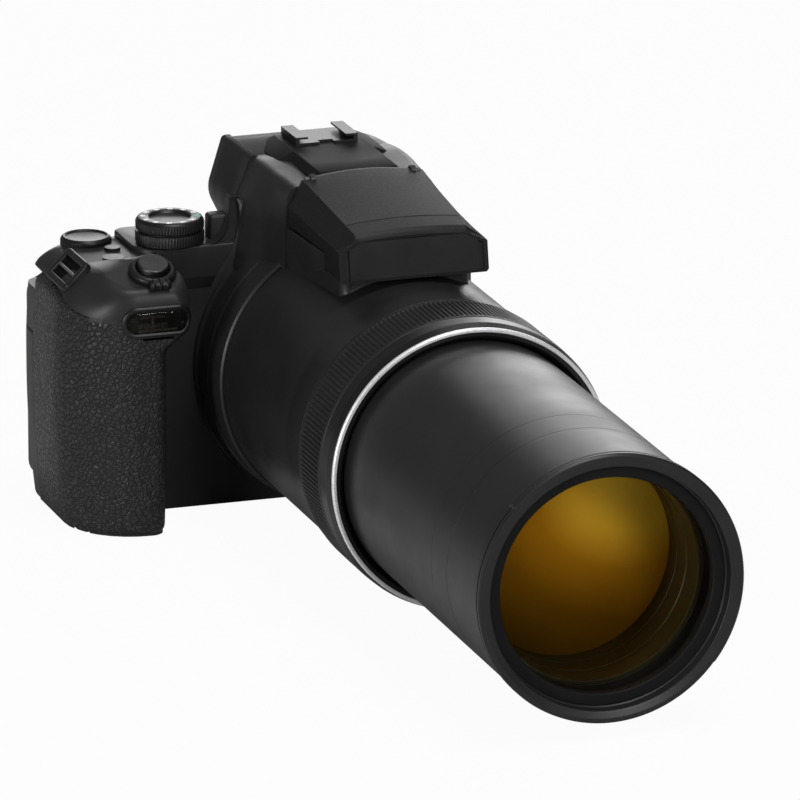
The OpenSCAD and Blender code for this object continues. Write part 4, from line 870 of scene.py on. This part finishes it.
def finder_tunnel():
    """Rear housing of the finder: a rounded box drawn along the lens, its rear edge eased."""
    rows = [upright(rounded([
        (-19 + inset, 87.6 + inset, 5), (19 - inset, 87.6 + inset, 5),
        (19 - inset, 110.4 - inset, 5), (-19 + inset, 110.4 - inset, 5),
    ], 10), y) for y, inset in ((15, 0), (24, 0), (24.6, 0.15), (24.9, 0.4), (25, 0.8))]
    return loft("finder_tunnel", rows, "camera", 40)


def collar_shell():
    """Collar round the barrel: stepped profile carried round the axis, cut level at the foot and at the
    side."""
    profile = soft_profile([
        (46.05, FACE + 0.05, 0.1), (49.5, FACE + 0.05, 0.2), (49.4, -14.2, 0.5), (48.5, -15.2, 2),
        (48.0, -23.2, 0.4), (47.5, -23.9, 0.4), (47.3, -34.4, 0.3), (46.6, -35, 0.3), (46.05, -35, 0.1),
    ], 6)
    angle = full_turn(256)
    points = round_axis(profile[:, :1], profile[:, 1:], angle)
    points[..., 0] = np.minimum(points[..., 0], SIDE + 0.4)
    points[..., 2] = np.maximum(points[..., 2], 0.3)
    return piece("collar_shell", points, quads(len(profile), len(angle), True, True), "camera")


def collar_sweep():
    """Hollow sweep from the fin's edge down to the barrel: at each station a parabola from the edge to the
    barrel whose middle is pulled towards the corner between them."""
    edge = np.array([(-33.2, -9.2, 102.3), (-32.9, -10.6, 99.6), (-33.3, -12.2, 94.3), (-36.9, -12.65, 84.9),
                     (-41.3, -12.65, 78.5), (-44.4, -12.65, 70.8), (-47.6, -12.65, 60), (-49.3, -12.65, 50),
                     (-49.3, -12.65, 42)])
    land = np.array([(-29.0, -20, 101), (-28.4, -20.5, 97), (-28.4, -21, 92), (-29.3, -20.5, 83.2),
                     (-34.2, -20.5, 78.5), (-38.6, -19.4, 72.9), (-43, -17.5, 64), (-46, -15.5, 52),
                     (-46.6, -14, 42)])
    toward_land = np.array([0.65, 0.2, 0.6])
    t, s = np.linspace(0, 8, 70), np.linspace(0, 1, 18)[:, None, None]
    a, b = through(range(9), edge, t), through(range(9), land, t)
    corner = a * (1 - toward_land) + b * toward_land
    face = a * (1 - s) ** 2 + 2 * corner * s * (1 - s) + b * s ** 2
    back = face.copy()
    back[..., 1] = np.maximum(face[..., 1] + 1.0, -12.4)
    back[..., 0] += 1.2
    points = np.concatenate([face, back[::-1]])
    rows, cols = points.shape[:2]
    ends = [list(range(0, rows * cols, cols)), list(range(cols - 1, rows * cols, cols))]
    return piece("collar_sweep", points, quads(rows, cols, True, False).tolist() + ends, "camera", 40)


def bore(made):
    """Cuts the round way of the sliding barrel through a piece."""
    radius, near, far = 43.2, 6, -100
    way = lathe("barrel_way", [(0, near), (radius, near), (radius, far), (0, far)], None, 180)
    cut = made.modifiers.new("way", "BOOLEAN")
    cut.operation, cut.object = "DIFFERENCE", way
    made.data = bpy.data.meshes.new_from_object(made.evaluated_get(bpy.context.evaluated_depsgraph_get()))
    made.modifiers.clear()
    bpy.data.objects.remove(way)


def soften(made, width, angle):
    """Rounds every edge of a piece that is sharper than an angle."""
    bevel = made.modifiers.new("edges", "BEVEL")
    bevel.width = width * MM
    bevel.segments = 3
    bevel.limit_method = "ANGLE"
    bevel.angle_limit = math.radians(angle)
    bevel.harden_normals = True


def top_pieces():
    """Everything that stands for the CAD top cover and the lens collar."""
    made = [shoulder_shell(), nose_shell(), deck_plate(), fin_plate(), neck_shell(), finder_shell(),
            bed_shell(), prow_shell(), slab_shell(), finder_tunnel(), collar_sweep(), fin_knob()]
    shells = {shell.name: shell for shell in made}
    for name in ("shoulder_shell", "finder_shell", "prow_shell"):
        bore(shells[name])
    for name, shell in shells.items():
        dress(shell, KEEPER if name == "slab_shell" else BODY, "body_black")
    for name in ("fin_plate", "bed_shell", "slab_shell"):
        soften(shells[name], 0.3, 30)
    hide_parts("top_cover")
    dress(collar_shell(), BODY, "body_black", "lens_collar")


def flash_section(y, side_low, side_high, facet, edge, top, floor, inset=0.0):
    """Outline across the flash head: floor, upright side, slanted facet, then a crown that falls off with
    x squared."""
    half, base = 25 - inset, 24.2 - inset
    x = np.linspace(-facet + inset, facet - inset, 25)
    arch = np.column_stack([x, edge - inset + (top - edge) * (1 - (x / (facet - inset)) ** 2)])
    flat = np.concatenate([[(-base, floor + inset), (-half, side_low), (-half, side_high - inset / 2)], arch,
                           [(half, side_high - inset / 2), (half, side_low), (base, floor + inset)]])
    tilt = np.clip(flat[:, 1] - 95, 0, None) * np.tan(np.radians(10.2)) * ease(-86, -92, y)
    return np.column_stack([flat[:, 0], y + tilt, flat[:, 1]])


def flash_shell():
    """Flash head: sections from the hinge to the front, a fine groove near the front edge, a framed recess
    there."""
    rear, front, brow = -37.4, -90.0, 95

    def at(y, drop=0.0, floor=None, inset=0.0):
        """Section at a depth, its sizes changing evenly from the rear to the front."""
        k = (y - rear) / (front - rear)
        floor = 99.5 + 1.7 * k if floor is None else floor
        return flash_section(y, floor + 0.9, 106.5 - 1.5 * k, 20.5 - 1.9 * k, 115.5 - 6.1 * k - drop,
                             117.5 - 7.1 * k - drop, floor, inset)

    rows = [at(y, 0, None, inset) for y, inset in ((rear, 1.3), (-37.6, 0.7), (-38.0, 0.3), (-38.8, 0.05))]
    rows += [at(y) for y in (-39.6, -48, -58, -68, -75.55)]
    rows += [at(y, drop, brow) for y, drop in (
        (-75.6, 0), (-79.2, 0), (-79.35, 0.3), (-79.75, 0.3), (-79.9, 0), (-88.4, 0), (-89.6, 0.25),
        (-91, 0.9), (-92.5, 1.3))]
    last = rows[-1]
    middle = np.array([0, -91.4, 101.5])
    shrink = np.array([0.94, 1, 0.86])
    lip = middle + (last - middle) * shrink
    lip[:, 1] = last[:, 1]
    rows += [lip, lip + np.array([0, 0.7, 0])]
    head = loft("flash_shell", rows, "flash", 24)
    dress(head, ROUGH, "body_black", "flash_head")
    soften(head, 0.35, 24)


# Controls

SHUTTER_AT = np.array([-69, -31.5, RIDGE - 9.5 * math.tan(NOSE_TILT)])


def on_nose(points):
    """Points given about the shutter's axis, laid on the tilted nose."""
    x, y, z = np.moveaxis(np.asarray(points, float), -1, 0)
    cos, sin = math.cos(NOSE_TILT), math.sin(NOSE_TILT)
    return np.stack([x, y * cos - z * sin, y * sin + z * cos], -1) + SHUTTER_AT


def turned(profile, ribs=0, wrap=False):
    """Rows of (radius, height, rib depth) carried round an upright axis, the radius dipping between ribs."""
    rows = np.array(profile, float)
    angle = full_turn(ribs * 8 if ribs else 144)
    dip = rib_dip(ribs, angle) if ribs else 0 * angle
    r = rows[:, :1] - rows[:, 2:] * dip
    points = np.stack([r * np.cos(angle), r * np.sin(angle), rows[:, 1:2] + 0 * r], -1)
    return points, quads(len(rows), len(angle), wrap, True)


def dial_marks(name, angles, finish, at):
    """Plain raised bars round the dial's top: one outline turned to each angle, with walls and lids."""
    bar = rounded([(7.9, -0.8, 0.3), (9.6, -1.0, 0.3), (9.6, 1.0, 0.3), (7.9, 0.8, 0.3)], 3)
    out = np.stack([np.cos(angles), np.sin(angles)], -1)[:, None]
    along = np.stack([-np.sin(angles), np.cos(angles)], -1)[:, None]
    flat = (bar[:, :1] * out + bar[:, 1:] * along).reshape(-1, 2)
    first = np.arange(len(angles))[:, None] * len(bar)
    ring = np.arange(len(bar))
    step = (ring + 1) % len(bar)
    top = len(flat)
    sides = np.stack([first + ring, first + step, first + step + top, first + ring + top], -1)
    lids = (first + ring + top).tolist() + (first + ring[::-1]).tolist()
    points = np.concatenate([level(flat, 97.2), level(flat, 97.34)]) + at
    dress(piece(name, points, sides.reshape(-1, 4).tolist() + lids, "mode_dial", 40), finish, "key_black")


def mode_dial():
    """Two-tier mode dial with a sunk top and a ring of plain marks."""
    at = np.array([-54.8, -5, 0])
    points, faces = turned([
        (0, 88.9, 0), (10.9, 88.9, 0), (11.2, 89.2, 0), (11.3, 89.6, 0.2), (11.3, 92.2, 0.2), (11.0, 92.7, 0),
        (10.4, 92.9, 0), (10.4, 93.2, 0), (10.8, 93.4, 0), (11.1, 93.7, 0), (11.2, 94.1, 0.25),
        (11.2, 96.0, 0.25), (11.0, 96.4, 0), (10.5, 97.1, 0), (10.0, 97.3, 0), (7.2, 97.3, 0), (6.9, 97.1, 0),
        (6.6, 96.5, 0), (6.2, 96.3, 0), (0, 96.3, 0),
    ], 72)
    dress(piece("mode_dial_knob", points + at, faces, "mode_dial", 40), KEYS, "key_black", "mode_dial")
    spots = np.radians(np.arange(12) * 30 + 12)
    dial_marks("mode_marks", spots[:-1], WHITE, at)
    dial_marks("mode_mark_green", spots[-1:], GREEN, at)


def command_dial():
    """Flat thumb dial with a ribbed rim, a bevelled edge and a dished top."""
    points, faces = turned([
        (0, 83.6, 0), (8.2, 83.6, 0), (8.4, 84.0, 0.25), (8.4, 87.4, 0.25), (8.4, 87.8, 0), (8.1, 88.4, 0),
        (7.4, 88.95, 0), (6.9, 88.9, 0), (6.5, 88.5, 0), (3, 88.25, 0), (0, 88.2, 0),
    ], 60)
    knob = piece("command_dial_knob", points + [-78.8, 10, 0], faces, "command_dial", 40)
    dress(knob, KEYS, "key_black", "command_dial")


def shutter():
    """Shutter button with a shallow dish, and the round part of the zoom lever."""
    points, faces = turned([
        (0, -3, 0), (5.1, -3, 0), (5.1, 3.9, 0), (5.0, 4.2, 0), (4.75, 4.4, 0), (4.5, 4.42, 0), (2.5, 4.3, 0),
        (0, 4.2, 0),
    ])
    cap = piece("shutter_cap", on_nose(points), faces, "shutter_button", 50)
    dress(cap, DARK_METAL, "key_black", "shutter_button")
    points, faces = turned([
        (5.5, 0.35, 0), (7.7, 0.35, 0), (7.8, 0.8, 0), (7.8, 1.6, 0), (7.5, 2.2, 0), (6.9, 2.6, 0),
        (6.2, 2.7, 0), (5.7, 2.6, 0), (5.5, 2.3, 0),
    ], wrap=True)
    dress(piece("lever_ring", on_nose(points), faces, "zoom_lever", 50), KEYS, "key_black", "zoom_lever")


def lever_tab():
    """Ribbed tab of the zoom lever: sections across it, raised by a cosine cut off flat and lowered towards
    both ends."""
    end, rib_step = 3.5, 2.33
    x = np.linspace(-end, end, 57)
    ridge = 0.55 * np.clip(np.cos(x * 2 * np.pi / rib_step) * 2 - 0.6, 0, 1) * ease(end, 3.1, np.abs(x))
    drop = 0.6 * ease(3.0, end, np.abs(x))
    rows = []
    for at, high, low in zip(x, ridge, drop):
        flat = rounded([
            (-7.2, 0.8, 0.1), (-10.2, 0.6, 0.3), (-10.4 + low * 0.4 - high * 0.4, 2.4, 0.5),
            (-9.8 - high * 0.4, 3.2 + high - low, 0.4), (-8.0, 3.35 + high - low, 0.4), (-7.2, 2.9 - low, 0.3),
        ], 4)
        rows.append(np.column_stack([np.full(len(flat), at), flat]))
    dress(loft("lever_tab", on_nose(rows), "zoom_lever", 40), KEYS, "key_black")


# Assist lamp

LAMP_AT, LAMP_HALF = np.array([-70.1, 72.9]), np.array([12.1, 5.3])


def nose_front(x):
    """Depth of the nose's front face: flat, with the grip's round on the left and a small one on the
    right."""
    left = 23 - np.sqrt(23 ** 2 - np.clip(-75.1 - x, 0, 20) ** 2)
    right = 5 - np.sqrt(25 - np.clip(x + 63.2, 0, 4.7) ** 2)
    return NOSE + left + right


def oval(inset, lift):
    """Ring of points round the lamp, drawn in by an inset and standing off the nose by a lift."""
    wide, tall = LAMP_HALF - inset
    bend = tall - 0.05
    corners = [(-wide, -tall, bend), (wide, -tall, bend), (wide, tall, bend), (-wide, tall, bend)]
    flat = split(rounded(corners, 24), 40) + LAMP_AT
    return np.column_stack([flat[:, 0], nose_front(flat[:, 0]) - lift, flat[:, 1]])


def ovals(*steps):
    """Rings round the lamp, one for each step of (inset, lift)."""
    return np.stack([oval(inset, lift) for inset, lift in steps])


def lamp():
    """Assist lamp: raised oval bezel, a dark dish with a small bulb and strip, and a bulged clear cover."""
    rows = ovals((0, -3), (0, -0.1), (0.12, 0.25), (0.5, 0.5), (1.2, 0.5), (1.5, 0.35), (1.8, 0.0), (1.9, -3))
    bezel = piece("lamp_frame", rows, quads(*rows.shape[:2], True, True), "camera", 40)
    dress(bezel, SATIN, "body_black", "lamp_bezel")
    dish = ovals((1.85, -0.9), (1.85, 0.06), (3.2, 0.02), (4.6, 0.02), (5.15, 0.02))
    dress(loft("lamp_dish", dish, "camera", 50), INNER, "clear_glass", "lamp_window")
    out = np.array([0, 0.2, 0.2, 0])
    for name, left, right, low, high in (("lamp_bulb", -72.5, -71.8, 70.2, 75.2),
                                         ("lamp_strip", -77.0, -64.0, 70.0, 70.6)):
        rows = [np.column_stack([np.full(4, x), nose_front(x) - out, (low, low, high, high)])
                for x in np.linspace(left, right, 20)]
        dress(loft(name, rows, "camera", 40), DARK_METAL, "steel")
    cover = ovals((1.95, 0.24), (2.0, 0.3), (2.6, 0.4), (3.6, 0.46), (4.6, 0.48), (5.15, 0.48))
    dress(loft("lamp_cover", cover, "camera", 50), LAMP_GLASS, "clear_glass")


# Strap lugs

def carried(name, path, across, size, closed):
    """Bar with a rounded square section carried along a path that lies flat to one normal."""
    path, across = np.asarray(path, float), np.asarray(across, float) / np.linalg.norm(across)
    if closed:
        ahead = np.roll(path, -1, 0) - np.roll(path, 1, 0)
    else:
        ahead = np.gradient(path, axis=0)
    side = np.cross(ahead, across)
    side /= np.linalg.norm(side, axis=1)[:, None]
    half = size / 2
    flat = rounded([(-half, -half, 0.3), (half, -half, 0.3), (half, half, 0.5), (-half, half, 0.5)], 4)
    rows = path[:, None] + flat[:, :1] * side[:, None] + flat[:, 1:] * across
    if closed:
        return piece(name, rows, quads(*rows.shape[:2], True, True), "camera", 40)
    return loft(name, rows, "camera", 40)


def strap_lug(name, top, slope, forward, reach, length):
    """Strap lug: a four-sided frame lying on the shoulder's slope, a dark floor in it and a pin along the
    middle."""
    top, slope, forward = (np.array(v, float) for v in (top, slope, forward))
    slope /= np.linalg.norm(slope)
    normal = np.cross(forward, slope)
    normal *= np.sign(normal[2]) / np.linalg.norm(normal)
    flat = rounded([(0, 0, 1.2), (reach, 1.5, 1.6), (reach, length, 1.6), (0, length - 1.5, 1.2)], 6)
    path = top + flat[:, :1] * slope + flat[:, 1:] * forward
    border = carried(name + "_frame", path, normal, 2.4, True)
    dress(border, SATIN, "steel")
    floor = [path - normal * 0.9, path - normal * 0.5]
    dress(loft(name + "_floor", floor, "camera", 40), INNER, "body_black")
    along = np.linspace(0.8, length - 0.8, 12)[:, None]
    middle = top + slope * reach * 0.5 + forward * along + normal * 0.3
    dress(carried(name + "_pin", middle, normal, 1.1, False), STEEL, "steel")
    return border


lens_pieces()
ribbed_ring()
front_group()
top_pieces()
flash_shell()
grip_wrap()
grip_heel()
door_leaf()
mode_dial()
command_dial()
shutter()
lever_tab()
lamp()
left_lug = strap_lug("left_lug", (-88.2, -3.5, 87.6), (-0.76, 0, -0.65), (0, -1, 0), 9.6, 20.5)
strap_lug("right_lug", (38.5, 9, 86.0), (0.7, 0, -0.7), (0, -1, 0), 8.0, 15)
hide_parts("strap_eyelets")


# Stage and light

# How white the floor is to the camera and in mirrors, and the strength of the light from all round
SEEN_WHITE, MIRRORED_WHITE, AMBIENT = 0.96, 0.05, 0.12


def stage_floor():
    """Wide pale sheet under the camera that curves up far behind it, drawn as one swept grid."""
    along = np.linspace(0, 1, 40)
    run = np.where(along < 0.6, -6 + along / 0.6 * 9, 3 + 1.2 * np.sin((along - 0.6) / 0.4 * np.pi / 2))
    rise = np.where(along < 0.6, 0, 1.2 - 1.2 * np.cos((along - 0.6) / 0.4 * np.pi / 2))
    across = np.linspace(-5, 5, 21)
    x, y = np.meshgrid(across, run)
    z = np.repeat(rise[:, None], len(across), 1) - 0.0002
    faces = quads(len(along), len(across), False, False)
    floor = piece("floor", np.stack([x, y, z], -1) / MM, faces, None)
    f = Finish("pale_floor")
    f.colour(f.noise(0.004, 2), [(0.3, (0.5, 0.5, 0.5)), (0.7, (0.54, 0.54, 0.54))])
    f.set(Roughness=0.9)
    rays = f.add("ShaderNodeLightPath")
    mirrored = f.math("MAXIMUM", rays.outputs["Is Glossy Ray"], rays.outputs["Is Transmission Ray"])
    seen = f.math("MULTIPLY", rays.outputs["Is Camera Ray"], SEEN_WHITE)
    share = f.math("MAXIMUM", seen, f.math("MULTIPLY", mirrored, MIRRORED_WHITE))
    white = f.add("ShaderNodeEmission")
    white.inputs["Color"].default_value = (1, 1, 1, 1)
    f.surface(share, f.shader.outputs[0], white.outputs[0])
    floor.data.materials.append(f.material)


def soft_box(name, at, toward, size, power):
    """Rectangular studio lamp at a place in metres, facing a point."""
    box = bpy.data.objects.new(name, bpy.data.lights.new(name, "AREA"))
    box.data.shape = "RECTANGLE"
    box.data.size, box.data.size_y = size
    box.data.energy = power
    box.location = at
    box.rotation_euler = (Vector(toward) - Vector(at)).to_track_quat("-Z", "Y").to_euler()
    bpy.context.scene.collection.objects.link(box)


def studio_world():
    """Faint even light from all round, which the camera sees as white."""
    world = bpy.data.worlds.new("studio")
    bpy.context.scene.world = world
    world.use_nodes = True
    tree = world.node_tree
    backdrop = tree.nodes["Background"]
    backdrop.inputs["Color"].default_value = (1, 1, 1, 1)
    rays = tree.nodes.new("ShaderNodeLightPath")
    strength = tree.nodes.new("ShaderNodeMapRange")
    strength.inputs["To Min"].default_value = AMBIENT
    strength.inputs["To Max"].default_value = 1.0
    tree.links.new(rays.outputs["Is Camera Ray"], strength.inputs["Value"])
    tree.links.new(strength.outputs["Result"], backdrop.inputs["Strength"])


stage_floor()
soft_box("back_sheet", (0.85, 2.3, 0.6), (0, -0.1, 0.08), (1.3, 0.9), 13)
soft_box("back_box", (0.6, 1.0, 1.5), (0, -0.05, 0.05), (0.9, 0.7), 2)
soft_box("top_box", (0.1, -0.5, 1.7), (0, -0.1, 0.05), (0.8, 0.8), 18)
soft_box("left_box", (-1.9, -1.2, 0.3), (0, -0.1, 0.05), (0.4, 0.5), 25)
soft_box("front_box", (0.4, -2.3, 1.15), (0, -0.2, 0.05), (0.8, 0.8), 20)
studio_world()
